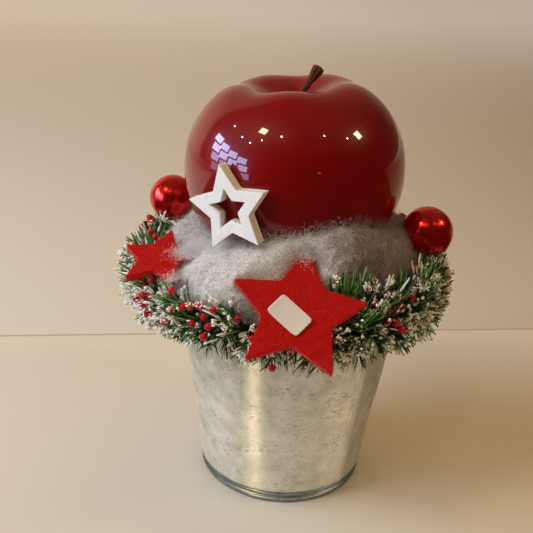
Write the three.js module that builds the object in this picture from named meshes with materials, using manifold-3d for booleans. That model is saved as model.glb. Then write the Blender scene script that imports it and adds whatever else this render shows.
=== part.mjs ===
// A Christmas table decoration. A large lacquered apple stands on a foam plug in a zinc bucket.
// Wadding lies round the foot of the apple, a snowy pine garland rings the bucket's rim, and two
// baubles on wire picks, three felt stars, a wooden star and a blank label trim it.
// Millimetres, +Z up, and the front faces -Y. The bucket stands on z = 0. The origin is under the
// middle of the whole object, so the bucket's own axis stands a little beside it.

import * as THREE from 'three';
import { mergeVertices } from 'three/addons/utils/BufferGeometryUtils.js';
import Module from 'manifold-3d';

const wasm = await Module();
wasm.setup();

const DEG = Math.PI / 180;

// ---- Driving dimensions -----------------------------------------------------------------------

// Where the bucket's axis stands beside the origin.
const BUCKET_AXIS = { x: 3.6, y: 7 };

// Clearance between pieces that touch.
const GAP = 0.3;

// How finely each round piece is faceted.
const FACETS = { bucket: 36, foam: 20, apple: [32, 20], stem: 8, ball: [16, 10], wadding: [11, 40], core: 3 };

// Bucket: a rolled sheet wall that leans outward, a double-beaded foot and a rolled rim.
const WALL_BASE_RADIUS = 51.7;
const WALL_SLOPE = 0.138;
const WALL_THICKNESS = 0.7;
const WALL_START = 8.4;
const FOOT_INNER_RADIUS = 49.4;
const FOOT_BEADS = [[51.2, 0], [52, 1.5], [52, 2.8], [51.1, 4.1], [51.8, 5.2], [51.8, 6.6], [51, 7.8]];
const RECESS_DEPTH = 3.2;
const FLOOR_TOP = 4.6;
const RIM_HEIGHT = 130;
const RIM_BEAD = 1.5;
const RIM_ROLL = { from: -105, to: 175, steps: 8 };
const SEAM = { azimuth: -45.3, width: 5, proud: 0.6, top: 127 };

// Foam plug that fills the bucket and carries the apple on its neck.
const FOAM = { bottomRadius: 49.5, shoulder: 129, cylinder: 3, slack: 0.5, neckRadius: 56, top: 156 };

// Apple: squat body, its dimple round the stem and five soft lobes, tipped to the left.
const APPLE = {
  x: -1.3, z: 200.8, radius: 64.2, tilt: -4.5,
  top: 58.5, topRoundness: 2.06, bottom: 54.9, bottomRoundness: 2.26,
  dimpleDepth: 21.4, dimpleWidth: 23.2,
  lobes: 5, lobeHeight: 0.8, lobePhase: -0.38, lobeAngle: 0.62, lobeSpread: 0.42,
};

// Stem: bends to the right and thickens to a blunt knob.
const STEM_PATH = [[-5.2, 0, 234.6], [0.6, 0, 243.2], [9.8, 0, 259]];
const STEM_RADII = [[0, 1.3], [0.5, 1.4], [0.75, 2], [0.92, 3.2], [0.98, 3.2], [1, 2.4]];

// Wadding: a soft ring that lies on the garland and the foam and swells up in front. A lump has
// its share of the section's size, how often it comes round the ring and how it twists on the way.
const WADDING = {
  radius: 63, halfWidth: 20, bottom: 131.6, fullness: 0.7,
  crest: 167.5, swell: 15.5, swellAzimuth: -65, swellSpread: 42,
};
const LUMPS = [{ size: 0.03, count: 7, twist: 2 }, { size: 0.02, count: 12, twist: -3 }];
const LARGEST_LUMP = 1.05;

// How far round a star it presses the wadding down, as shares of its radius, and the height above
// its back that is cleared of wadding.
const PRESS = { whole: 0.8, none: 1.2, cleared: 40 };

// Garland: a flat ring core round the rim that needles and berries stand out of.
const CORE = { radius: 78.6, height: 131.6, halfWidth: 7, halfHeight: 3.6, corners: 8 };
const SECTIONS = 14;
const NEEDLES = {
  rows: 5, perRow: 6, radius: 1.5, lowest: -78, highest: 84, shortest: 0.84, longest: 1.04, sway: 0.25,
  seed: 101,
};
const SPREAD = { across: 0.92, jitter: 0.6, innermost: -0.6, outermost: 0.7 };
const REACH = { centreRadius: 80, centreHeight: 133, side: 20.5, lean: -5, up: 30, down: 24 };
const BERRY = { radius: 2.1, along: 0.72, first: 3, every: 13 };

// Where a needle would strike something it is cut to one of these shares, or left out, and these
// are the places along it that are tested.
const CUTS = [1, 0.8, 0.62];
const TESTED = [0.3, 0.42, 0.54, 0.66, 0.78, 0.9, 1];
const NEEDLE_CLEARANCE = 0.45;

// Baubles: the ball's centre and the foot of the wire pick that holds it in the foam.
const BALL_RADIUS = 15;
const BAUBLES = {
  bauble_right: { centre: [77.7, -15.2, 170.2], foot: [50, -9.8, 118] },
  bauble_left: { centre: [-79.2, 41, 164.1], foot: [-46, 24, 118] },
};
const NECK = { radius: 3, length: 4, sides: 10 };
const PICK = { radius: 0.6, sides: 6 };

// Stars: the middle of the face, the way it faces (azimuth from -Y towards +X, then elevation),
// its turn in its own plane, the radius of its tips and of its notches as a share of that.
const STARS = {
  felt_star_front: {
    centre: [5.1, -92, 150.9], azimuth: 7.2, elevation: 47.7, spin: -11,
    radius: 37.2, notch: 0.505, thickness: 4,
  },
  felt_star_left: {
    centre: [-72.4, -50, 159.7], azimuth: -17.9, elevation: 69.8, spin: 8.6,
    radius: 23.5, notch: 0.5, thickness: 4,
  },
  felt_star_back: {
    centre: [82, 24, 158], azimuth: 106, elevation: 55, spin: 13,
    radius: 20, notch: 0.5, thickness: 4,
  },
  wooden_star: {
    centre: [-34.4, -63, 192.6], azimuth: -25.3, elevation: -0.5, spin: 14.3,
    radius: 24.5, notch: 0.5, thickness: 6.5, windowRadius: 11.3,
  },
};

// Label: a blank slip on the front star's face, placed in that star's own plane.
const LABEL = { x: -3.9, y: -3.2, length: 20.5, width: 13, thickness: 0.4, spin: -34 };

// ---- From three.js geometry to solids and back --------------------------------------------------

// The closed solid of a geometry. Triangles that collapse to a line at a pole are left out.
function toSolid(geometry) {
  const bare = geometry.clone();
  bare.deleteAttribute('normal');
  bare.deleteAttribute('uv');
  const merged = mergeVertices(bare, 1e-4);
  const index = merged.index.array;
  const corners = [];
  for (let i = 0; i < index.length; i += 3) {
    const [a, b, c] = index.slice(i, i + 3);
    if (a !== b && b !== c && c !== a) corners.push(a, b, c);
  }
  const vertProperties = new Float32Array(merged.attributes.position.array);
  return new wasm.Manifold(new wasm.Mesh({ numProp: 3, vertProperties, triVerts: new Uint32Array(corners) }));
}

function toMesh(name, solid, material) {
  const { vertProperties, triVerts } = solid.getMesh();
  const geometry = new THREE.BufferGeometry();
  geometry.setAttribute('position', new THREE.BufferAttribute(new Float32Array(vertProperties), 3));
  geometry.setIndex(new THREE.BufferAttribute(new Uint32Array(triVerts), 1));
  const mesh = new THREE.Mesh(geometry, material);
  mesh.name = name;
  return mesh;
}

// A solid turned about +Z from [radius, height] points that go outward, up and back inward.
function turned(points, segments) {
  const profile = [...points, points[0]].map(([radius, height]) => new THREE.Vector2(radius, height));
  return toSolid(new THREE.LatheGeometry(profile, segments).rotateX(Math.PI / 2));
}

// Points on an ellipse, from one angle to another in degrees.
function arc([radius, height], [halfWidth, halfHeight], from, to, steps) {
  return Array.from({ length: steps + 1 }, (_, i) => {
    const angle = (from + ((to - from) * i) / steps) * DEG;
    return [radius + halfWidth * Math.cos(angle), height + halfHeight * Math.sin(angle)];
  });
}

// A geometry with each vertex moved to where a function puts it.
function reshaped(geometry, place) {
  const position = geometry.attributes.position;
  const vertex = new THREE.Vector3();
  for (let i = 0; i < position.count; i += 1) {
    const moved = place(vertex.fromBufferAttribute(position, i));
    position.setXYZ(i, moved.x, moved.y, moved.z);
  }
  return geometry;
}

// A geometry that grows along +Y, stood on a point and turned towards a direction.
function aimed(geometry, root, direction) {
  const turn = new THREE.Quaternion().setFromUnitVectors(new THREE.Vector3(0, 1, 0), direction);
  return geometry.applyQuaternion(turn).translate(root.x, root.y, root.z);
}

function polar(radius, azimuth, z) {
  return new THREE.Vector3(radius * Math.cos(azimuth), radius * Math.sin(azimuth), z);
}

function rod(from, to, radius, sides) {
  const along = to.clone().sub(from);
  const length = along.length();
  const geometry = new THREE.CylinderGeometry(radius, radius, length, sides).translate(0, length / 2, 0);
  return toSolid(aimed(geometry, from, along.normalize()));
}

// ---- Bucket and foam ----------------------------------------------------------------------------

const wallRadius = (height) => WALL_BASE_RADIUS + WALL_SLOPE * height;
const BEAD_RADIUS = wallRadius(RIM_HEIGHT);

function bucket() {
  const inner = (height) => [wallRadius(height) - WALL_THICKNESS, height];
  const shell = turned([
    [0, RECESS_DEPTH], [FOOT_INNER_RADIUS, RECESS_DEPTH], [FOOT_INNER_RADIUS, 0], ...FOOT_BEADS,
    [wallRadius(WALL_START), WALL_START],
    ...arc([BEAD_RADIUS, RIM_HEIGHT], [RIM_BEAD, RIM_BEAD], RIM_ROLL.from, RIM_ROLL.to, RIM_ROLL.steps),
    inner(RIM_HEIGHT - RIM_BEAD), inner(WALL_START + WALL_THICKNESS),
    [FOOT_INNER_RADIUS + WALL_THICKNESS, WALL_START - WALL_THICKNESS],
    [FOOT_INNER_RADIUS + WALL_THICKNESS, FLOOR_TOP], [0, FLOOR_TOP],
  ], FACETS.bucket);
  return shell.add(seam());
}

// The lap of the sheet's two ends: a flat strip up the wall, half sunk in it.
function seam() {
  const height = SEAM.top - WALL_START;
  const depth = SEAM.proud + WALL_THICKNESS / 2;
  const middle = (SEAM.top + WALL_START) / 2;
  const strip = new THREE.BoxGeometry(depth, SEAM.width, height);
  strip.rotateY(Math.atan(WALL_SLOPE));
  strip.translate(wallRadius(middle) + SEAM.proud - depth / 2, 0, middle);
  return toSolid(strip.rotateZ(SEAM.azimuth * DEG));
}

function foam(growth) {
  const shoulderRadius = wallRadius(FOAM.shoulder) - WALL_THICKNESS - GAP - FOAM.slack;
  const bottom = FLOOR_TOP + GAP;
  return turned([
    [0, bottom], [FOAM.bottomRadius, bottom], [shoulderRadius, FOAM.shoulder - FOAM.cylinder],
    [shoulderRadius, FOAM.shoulder + growth], [FOAM.neckRadius + growth, FOAM.shoulder + growth],
    [FOAM.neckRadius + growth, FOAM.top + growth], [0, FOAM.top + growth],
  ], FACETS.foam);
}

// ---- Apple and stem -----------------------------------------------------------------------------

// The point of the apple's skin that a unit direction from its middle leads to. A superellipse
// gives the body, a bell curve sinks the dimple, and a cosine lifts the lobes of the shoulders.
function onApple(direction, growth) {
  const upper = direction.z >= 0;
  const height = (upper ? APPLE.top : APPLE.bottom) + growth;
  const power = 2 / (upper ? APPLE.topRoundness : APPLE.bottomRoundness);
  const angle = Math.acos(THREE.MathUtils.clamp(direction.z, -1, 1));
  const azimuth = Math.atan2(direction.y, direction.x);
  const radius = (APPLE.radius + growth) * Math.sin(angle) ** power;
  const dimple = upper ? APPLE.dimpleDepth * Math.exp(-((radius / APPLE.dimpleWidth) ** 2)) : 0;
  const shoulder = Math.exp(-(((angle - APPLE.lobeAngle) / APPLE.lobeSpread) ** 2));
  const lobe = APPLE.lobeHeight * shoulder * Math.cos(APPLE.lobes * (azimuth - APPLE.lobePhase));
  const z = Math.sign(direction.z) * height * Math.abs(direction.z) ** power - dimple + lobe;
  const point = new THREE.Vector3(radius * Math.cos(azimuth), radius * Math.sin(azimuth), z);
  point.applyAxisAngle(new THREE.Vector3(0, 1, 0), APPLE.tilt * DEG);
  return point.add(new THREE.Vector3(APPLE.x, 0, APPLE.z));
}

function apple(growth) {
  const ball = new THREE.SphereGeometry(1, ...FACETS.apple).rotateX(Math.PI / 2);
  return toSolid(reshaped(ball, (vertex) => onApple(vertex.normalize(), growth)));
}

// The stem is turned upright from t = 0 to 1, then each ring moves to its place on the path.
function stem(growth) {
  const path = new THREE.QuadraticBezierCurve3(...STEM_PATH.map((point) => new THREE.Vector3(...point)));
  const rings = STEM_RADII.map(([t, radius]) => [radius + growth, t]);
  const upright = [[0, 0], ...rings, [0, 1]].map(([radius, t]) => new THREE.Vector2(radius, t));
  const geometry = new THREE.LatheGeometry([...upright, upright[0]], FACETS.stem).rotateX(Math.PI / 2);
  return toSolid(reshaped(geometry, (vertex) => {
    const along = path.getTangent(vertex.z);
    const across = new THREE.Vector3(0, 1, 0).cross(along);
    const place = path.getPoint(vertex.z).addScaledVector(across, vertex.x);
    place.y += vertex.y;
    return place.addScaledVector(along, (vertex.z - 0.5) * 2 * growth);
  }));
}

// ---- Stars and label ----------------------------------------------------------------------------

// The matrix that takes a star's own plane (x right, y up, z out of its face) to its place.
function starFrame({ centre, azimuth, elevation, spin }) {
  const out = new THREE.Vector3(
    Math.sin(azimuth * DEG) * Math.cos(elevation * DEG),
    -Math.cos(azimuth * DEG) * Math.cos(elevation * DEG),
    Math.sin(elevation * DEG),
  );
  const right = new THREE.Vector3(0, 0, 1).cross(out).normalize();
  const frame = new THREE.Matrix4().makeBasis(right, out.clone().cross(right), out);
  frame.multiply(new THREE.Matrix4().makeRotationZ(spin * DEG));
  return frame.setPosition(...centre);
}

// How far a star's straight edges lie from its middle, as a share of its tips' radius.
function edgeShare(notch) {
  const across = notch * Math.sin(36 * DEG);
  return across / Math.hypot(across, 1 - notch * Math.cos(36 * DEG));
}

function starOutline(path, radius, notch) {
  for (let corner = 0; corner < 10; corner += 1) {
    const reach = corner % 2 ? radius * notch : radius;
    const angle = (90 + 36 * corner) * DEG;
    const [x, y] = [reach * Math.cos(angle), reach * Math.sin(angle)];
    if (corner === 0) path.moveTo(x, y);
    else path.lineTo(x, y);
  }
  path.closePath();
  return path;
}

// A star's solid, grown all round, and raised out of its face where it presses into the wadding.
function star(spec, growth, raised) {
  const radius = spec.radius + growth / edgeShare(spec.notch);
  const shape = starOutline(new THREE.Shape(), radius, spec.notch);
  if (spec.windowRadius && !growth) {
    shape.holes.push(starOutline(new THREE.Path(), spec.windowRadius, spec.notch));
  }
  const depth = spec.thickness + 2 * growth + raised;
  const slab = new THREE.ExtrudeGeometry(shape, { depth, bevelEnabled: false });
  return toSolid(slab.translate(0, 0, -spec.thickness - growth).applyMatrix4(starFrame(spec)));
}

function label() {
  const slip = new THREE.BoxGeometry(LABEL.length, LABEL.width, LABEL.thickness);
  slip.rotateZ(LABEL.spin * DEG).translate(LABEL.x, LABEL.y, GAP + LABEL.thickness / 2);
  return toSolid(slip.applyMatrix4(starFrame(STARS.felt_star_front)));
}

// ---- Baubles ------------------------------------------------------------------------------------

function bauble({ centre, foot }, growth) {
  const middle = new THREE.Vector3(...centre);
  const end = new THREE.Vector3(...foot);
  const along = end.clone().sub(middle).normalize();
  end.addScaledVector(along, growth);
  const ball = new THREE.SphereGeometry(BALL_RADIUS + growth, ...FACETS.ball).translate(...centre);
  const neckEnd = middle.clone().addScaledVector(along, BALL_RADIUS + NECK.length + growth);
  const neck = rod(middle, neckEnd, NECK.radius + growth, NECK.sides);
  return toSolid(ball).add(neck).add(rod(middle, end, PICK.radius + growth, PICK.sides));
}

// ---- Wadding ------------------------------------------------------------------------------------

// Half the wadding's height at an azimuth: level at the back, swelling up in front.
function waddingHalfHeight(azimuth) {
  const turn = azimuth - WADDING.swellAzimuth * DEG;
  const wrapped = Math.atan2(Math.sin(turn), Math.cos(turn)) / (WADDING.swellSpread * DEG);
  return (WADDING.crest + WADDING.swell * Math.exp(-(wrapped ** 2)) - WADDING.bottom) / 2;
}

// The ring's cross-section is an ellipse, fuller in its lower half where it settles on the garland,
// that grows and shrinks in soft lumps round the ring.
function onWadding(vertex) {
  const azimuth = Math.atan2(vertex.y, vertex.x);
  const angle = Math.atan2(vertex.z, Math.hypot(vertex.x, vertex.y) - WADDING.radius);
  const halfHeight = waddingHalfHeight(azimuth);
  const lump = LUMPS.reduce((sum, { size, count, twist }) => (
    sum + size * Math.sin(count * azimuth + twist * angle)
  ), 1);
  const power = angle < 0 ? WADDING.fullness : 1;
  const out = Math.sign(Math.cos(angle)) * Math.abs(Math.cos(angle)) ** power * lump;
  const up = Math.sin(angle) * (angle > 0 ? lump : 1);
  return polar(WADDING.radius + WADDING.halfWidth * out, azimuth, WADDING.bottom + halfHeight * (1 + up));
}

// A point that a felt star presses down to just behind its back, less and less beyond its tips.
function pressedBy(spec, frame, point) {
  const local = point.clone().applyMatrix4(frame.clone().invert());
  const behind = -spec.thickness - 2 * GAP;
  const distance = Math.hypot(local.x, local.y);
  const share = 1 - THREE.MathUtils.smoothstep(distance / spec.radius, PRESS.whole, PRESS.none);
  if (local.z > behind) local.z += (behind - local.z) * share;
  return local.applyMatrix4(frame);
}

function wadding() {
  const felt = [STARS.felt_star_front, STARS.felt_star_left, STARS.felt_star_back];
  const frames = felt.map(starFrame);
  const ring = new THREE.TorusGeometry(WADDING.radius, WADDING.halfWidth, ...FACETS.wadding);
  let solid = toSolid(reshaped(ring, (vertex) => felt.reduce(
    (point, spec, i) => pressedBy(spec, frames[i], point),
    onWadding(vertex),
  )));
  for (const spec of felt) solid = solid.subtract(star(spec, GAP, PRESS.cleared));
  solid = solid.subtract(star(STARS.wooden_star, GAP, 0));
  for (const spec of Object.values(BAUBLES)) solid = solid.subtract(bauble(spec, GAP));
  return solid.subtract(apple(GAP)).subtract(foam(GAP)).subtract(core(GAP));
}

// ---- Garland ------------------------------------------------------------------------------------

function core(growth) {
  const half = [CORE.halfWidth + growth, CORE.halfHeight + growth];
  const lastCorner = 360 - 360 / CORE.corners;
  const outline = arc([CORE.radius, CORE.height], half, 0, lastCorner, CORE.corners - 1);
  return turned(outline, SECTIONS * FACETS.core);
}

// The wedge of space that one section of the garland keeps to, half a gap clear on both sides.
function wedge(middle, halfAngle) {
  const tip = GAP / 2 / Math.sin(halfAngle);
  const far = 2 * CORE.radius;
  const shape = new THREE.Shape();
  const foot = new THREE.Vector2(tip * Math.cos(middle), tip * Math.sin(middle));
  shape.moveTo(foot.x, foot.y);
  for (const side of [-1, 1]) {
    const angle = middle + side * halfAngle;
    shape.lineTo(foot.x + far * Math.cos(angle), foot.y + far * Math.sin(angle));
  }
  const depth = 4 * CORE.halfHeight;
  const geometry = new THREE.ExtrudeGeometry(shape, { depth, bevelEnabled: false });
  return toSolid(geometry.translate(0, 0, CORE.height - depth / 2));
}

// The same numbers from 0 to 1 on each run, from a small seeded generator.
function seeded(seed) {
  let state = seed;
  return () => {
    state = (state + 0x6d2b79f5) | 0;
    let mixed = Math.imul(state ^ (state >>> 15), 1 | state);
    mixed = (mixed + Math.imul(mixed ^ (mixed >>> 7), 61 | mixed)) ^ mixed;
    return ((mixed ^ (mixed >>> 14)) >>> 0) / 2 ** 32;
  };
}

function nearStar({ radius, notch, thickness }, local, margin) {
  if (local.z > margin || local.z < -thickness - margin) return false;
  const turn = Math.atan2(local.x, local.y) / DEG;
  const folded = Math.abs(turn - 72 * Math.round(turn / 72)) * DEG;
  const edge = Math.atan2(notch * Math.sin(36 * DEG), 1 - notch * Math.cos(36 * DEG));
  return Math.hypot(local.x, local.y) * Math.sin(folded + edge) < radius * edgeShare(notch) + margin;
}

const STAR_PLACES = Object.values(STARS).map((spec) => ({ spec, inverse: starFrame(spec).invert() }));

// Whether a point is clear, by a margin, of everything that the garland lies against.
function isFree(point, margin) {
  const radius = Math.hypot(point.x, point.y);
  const wall = point.z < RIM_HEIGHT - 2 * RIM_BEAD ? wallRadius(point.z) : BEAD_RADIUS + RIM_BEAD;
  const rimTop = RIM_HEIGHT + RIM_BEAD + margin;
  if (point.z < rimTop && radius < wall + SEAM.proud + margin) return false;
  const halfHeight = waddingHalfHeight(Math.atan2(point.y, point.x));
  const out = Math.abs(radius - WADDING.radius) / (LARGEST_LUMP * WADDING.halfWidth + margin);
  const up = (point.z - WADDING.bottom - halfHeight) / (LARGEST_LUMP * halfHeight + margin);
  const power = up < 0 ? WADDING.fullness : 1;
  if (Math.abs(up) < 1 && out < Math.sqrt(1 - up * up) ** power) return false;
  for (const { centre } of Object.values(BAUBLES)) {
    if (point.distanceTo(new THREE.Vector3(...centre)) < BALL_RADIUS + margin) return false;
  }
  return !STAR_PLACES.some(({ spec, inverse }) => (
    nearStar(spec, point.clone().applyMatrix4(inverse), margin)
  ));
}

// Whether a point keeps to its own section's wedge.
function inWedge(point, middle, halfAngle, margin) {
  const azimuth = Math.atan2(point.y, point.x) - middle;
  const off = Math.abs(Math.atan2(Math.sin(azimuth), Math.cos(azimuth)));
  return Math.hypot(point.x, point.y) * Math.sin(halfAngle - off) > margin + GAP / 2;
}

// One section: a length of the core, with needles that fan outward in rows and some berries.
function garlandSection(number) {
  const random = seeded(NEEDLES.seed + number);
  const halfAngle = Math.PI / SECTIONS;
  const middle = 2 * halfAngle * (number + 0.5);
  let solid = core(0).intersect(wedge(middle, halfAngle));
  for (let slot = 0; slot < NEEDLES.rows * NEEDLES.perRow; slot += 1) {
    const { root, tip } = needleLine(slot, middle, halfAngle, random);
    if (tip) {
      const along = tip.clone().sub(root);
      const spike = new THREE.ConeGeometry(NEEDLES.radius, along.length(), 3);
      spike.translate(0, along.length() / 2, 0);
      solid = solid.add(toSolid(aimed(spike, root, along.clone().normalize())));
      const berry = root.clone().addScaledVector(along, BERRY.along);
      const room = BERRY.radius + GAP;
      const takesBerry = slot % BERRY.every === BERRY.first;
      if (takesBerry && isFree(berry, room) && inWedge(berry, middle, halfAngle, room)) {
        const bead = new THREE.IcosahedronGeometry(BERRY.radius, 0).translate(berry.x, berry.y, berry.z);
        solid = solid.add(toSolid(bead));
      }
    }
  }
  return solid;
}

// Where a needle stands in the core and where it ends, if it finds room. Rows follow each other
// round the core, and each row fans from steeply down, outward, to steeply up.
function needleLine(slot, middle, halfAngle, random) {
  const inRow = (random() - 0.5) * SPREAD.jitter + 0.5;
  const across = (Math.floor(slot / NEEDLES.perRow) + inRow) / NEEDLES.rows;
  const around = ((slot % NEEDLES.perRow) + random()) / NEEDLES.perRow;
  const azimuth = middle + (2 * across - 1) * SPREAD.across * halfAngle;
  const fan = THREE.MathUtils.lerp(NEEDLES.lowest, NEEDLES.highest, around) * DEG;
  const outward = fan < 0 ? Math.cos(fan) : 1;
  const offset = THREE.MathUtils.lerp(SPREAD.innermost, SPREAD.outermost, outward);
  const root = polar(CORE.radius + CORE.halfWidth * offset, azimuth, CORE.height);
  const side = REACH.side + REACH.lean * Math.cos(azimuth);
  const rise = Math.sin(fan) > 0 ? REACH.up : REACH.down;
  const tipAzimuth = azimuth + NEEDLES.sway * (2 * random() - 1) * halfAngle;
  const length = THREE.MathUtils.lerp(NEEDLES.shortest, NEEDLES.longest, random());
  const tips = CUTS.map((cut) => polar(
    REACH.centreRadius + side * length * cut * Math.cos(fan),
    tipAzimuth,
    REACH.centreHeight + rise * length * cut * Math.sin(fan),
  ));
  return { root, tip: tips.find((tip) => fits(root, tip, middle, halfAngle)) };
}

// Whether a needle from root to tip stays clear of its neighbours once it has left the core.
function fits(root, tip, middle, halfAngle) {
  return TESTED.every((share) => {
    const point = root.clone().lerp(tip, share);
    const margin = NEEDLES.radius * (1 - share);
    return isFree(point, margin + NEEDLE_CLEARANCE) && inWedge(point, middle, halfAngle, margin);
  });
}

// ---- The whole object ---------------------------------------------------------------------------

function finish(color, roughness, metalness) {
  return new THREE.MeshStandardMaterial({ color, roughness, metalness });
}

const ZINC = finish(0xb4b0a4, 0.42, 0.9);
const LACQUER = finish(0x7c0b10, 0.06, 0);
const FELT = finish(0xb8190f, 0.95, 0);
const PINE = finish(0x35512f, 0.7, 0);

const object = new THREE.Group();
const standing = new THREE.Group();
standing.position.set(BUCKET_AXIS.x, BUCKET_AXIS.y, 0);
object.add(standing);

let plug = foam(0).subtract(apple(GAP));
for (const spec of Object.values(BAUBLES)) plug = plug.subtract(bauble(spec, GAP));

standing.add(toMesh('bucket', bucket(), ZINC));
standing.add(toMesh('foam', plug, finish(0x4c6b46, 0.95, 0)));
standing.add(toMesh('apple', apple(0).subtract(stem(GAP)), LACQUER));
standing.add(toMesh('apple_stem', stem(0), finish(0x2b1611, 0.6, 0)));
standing.add(toMesh('wadding', wadding(), finish(0xcfc8bd, 1, 0)));
for (let number = 0; number < SECTIONS; number += 1) {
  const name = `garland_${String(number + 1).padStart(2, '0')}`;
  standing.add(toMesh(name, garlandSection(number), PINE));
}
for (const [name, spec] of Object.entries(BAUBLES)) {
  standing.add(toMesh(name, bauble(spec, 0), finish(0xa3120d, 0.18, 0.9)));
}
for (const [name, spec] of Object.entries(STARS)) {
  standing.add(toMesh(name, star(spec, 0, 0), spec.windowRadius ? finish(0xe9e4da, 0.6, 0) : FELT));
}
standing.add(toMesh('label', label(), finish(0xe6ddd0, 0.8, 0)));

export default object;
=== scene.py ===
"""A Christmas table decoration, dressed: a lacquered apple on a zinc bucket, with wadding, a snowy
pine garland with berries, two baubles, three felt stars, a wooden star and a blank label.

Lengths are millimetres from the bucket's axis, with +Z up and the front towards -Y. They become
the frame's metres in one place, where a mesh is put together.
"""

import functools
import logging
import math
from collections.abc import Iterable
from dataclasses import dataclass, field, replace
from enum import Enum

import bpy
import numpy as np
from mathutils import Matrix, Vector


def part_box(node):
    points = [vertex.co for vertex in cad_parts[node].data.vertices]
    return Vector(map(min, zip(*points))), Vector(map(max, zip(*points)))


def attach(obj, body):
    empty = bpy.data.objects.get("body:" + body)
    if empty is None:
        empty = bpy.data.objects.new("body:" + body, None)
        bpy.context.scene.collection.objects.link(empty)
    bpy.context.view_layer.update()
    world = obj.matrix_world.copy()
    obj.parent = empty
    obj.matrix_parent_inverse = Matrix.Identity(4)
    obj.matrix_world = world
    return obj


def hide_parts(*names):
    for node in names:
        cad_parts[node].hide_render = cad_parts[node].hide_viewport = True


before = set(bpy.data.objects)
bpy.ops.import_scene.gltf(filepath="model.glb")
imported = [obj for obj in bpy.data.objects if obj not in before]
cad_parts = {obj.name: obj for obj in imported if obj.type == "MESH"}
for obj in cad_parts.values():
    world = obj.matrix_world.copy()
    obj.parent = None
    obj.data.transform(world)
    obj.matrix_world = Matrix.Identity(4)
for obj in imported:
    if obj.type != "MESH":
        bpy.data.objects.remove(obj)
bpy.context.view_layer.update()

LOG = logging.getLogger("decoration")
MM = 0.001
BODY = "root"
TURN = 2 * math.pi

# The sockets of a colour Mix node.
FACTOR, COLOUR_A, COLOUR_B, RESULT = 0, 6, 7, 2

Socket = bpy.types.NodeSocket
Tree = bpy.types.NodeTree


def bucket_axis() -> np.ndarray:
    """The point on the floor under the bucket's axis, in metres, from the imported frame."""
    low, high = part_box("bucket")
    return np.array([(low[0] + high[0]) / 2, (low[1] + high[1]) / 2, 0.0])


AXIS = bucket_axis()


# ---- Colours and nodes ----------------------------------------------------------------------------


def linear(colour: str) -> tuple[float, float, float, float]:
    """Turns an sRGB hex colour into linear light.

    Args:
        colour: Six hex digits, such as "b4b0a4".

    Returns:
        Red, green and blue by the sRGB curve, and alpha 1.
    """
    shares = (int(colour[start : start + 2], 16) / 255 for start in (0, 2, 4))
    return (*(s / 12.92 if s <= 0.04045 else ((s + 0.055) / 1.055) ** 2.4 for s in shares), 1.0)


def per_metre(size: float) -> float:
    """The texture scale that repeats once every so many millimetres."""
    return 1 / (size * MM)


def empty_tree(owner: bpy.types.Material | bpy.types.World) -> Tree:
    """The node tree of a material or a world, with nothing in it."""
    owner.use_nodes = True
    owner.node_tree.nodes.clear()
    return owner.node_tree


def add_node(tree: Tree, kind: str, inputs: dict | None = None, **settings: object) -> bpy.types.Node:
    """Adds a node with its settings, values and links.

    Args:
        tree: The node tree.
        kind: The node's type.
        inputs: For each input, by name or number, its value or the output socket that feeds it.
        **settings: The node's own properties.

    Returns:
        The new node.
    """
    node = tree.nodes.new(kind)
    for name, value in settings.items():
        setattr(node, name, value)
    for socket, value in (inputs or {}).items():
        if isinstance(value, Socket):
            tree.links.new(value, node.inputs[socket])
        else:
            node.inputs[socket].default_value = value
    return node


@dataclass(frozen=True)
class Layer:
    """A colour laid over those below it, as far as its share says."""

    share: Socket
    colour: str
    blend: str = "MIX"


def layered(tree: Tree, colour: str, layers: Iterable[Layer]) -> Socket | tuple:
    """Lays colours over a first one, each over all before it.

    Args:
        tree: The node tree.
        colour: The lowest colour, as sRGB hex.
        layers: The layers, from below.

    Returns:
        The last layer's socket, or the first colour where there is no layer.
    """
    shown = linear(colour)
    for layer in layers:
        inputs = {FACTOR: layer.share, COLOUR_A: shown, COLOUR_B: linear(layer.colour)}
        mixed = add_node(tree, "ShaderNodeMix", inputs, data_type="RGBA", blend_type=layer.blend)
        shown = mixed.outputs[RESULT]
    return shown


# ---- Finishes -------------------------------------------------------------------------------------


@dataclass(frozen=True)
class Pattern:
    """What a finish's texture gives its shader: a relief, layers of colour and other links."""

    height: Socket
    strength: float
    depth: float
    layers: tuple[Layer, ...] = ()
    links: dict[str, Socket] = field(default_factory=dict)
    normals: tuple[str, ...] = ("Normal",)


@dataclass(frozen=True)
class Finish:
    """A finish: a colour with its gloss, and the pattern that a kind of finish adds to it."""

    name: str
    colour: str
    roughness: float
    metallic: float = 0.0

    def sockets(self) -> dict[str, float]:
        """Values for the shader's own sockets beside colour, roughness and metal."""
        return {}

    def pattern(self, tree: Tree, place: Socket) -> Pattern:
        """A faint mottle, as any cast or moulded surface has.

        Args:
            tree: The material's tree.
            place: The Object coordinates.

        Returns:
            The pattern.
        """
        noise = add_node(tree, "ShaderNodeTexNoise", {"Vector": place, "Scale": per_metre(3), "Detail": 3})
        return Pattern(noise.outputs["Fac"], 0.15, 0.1)


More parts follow.
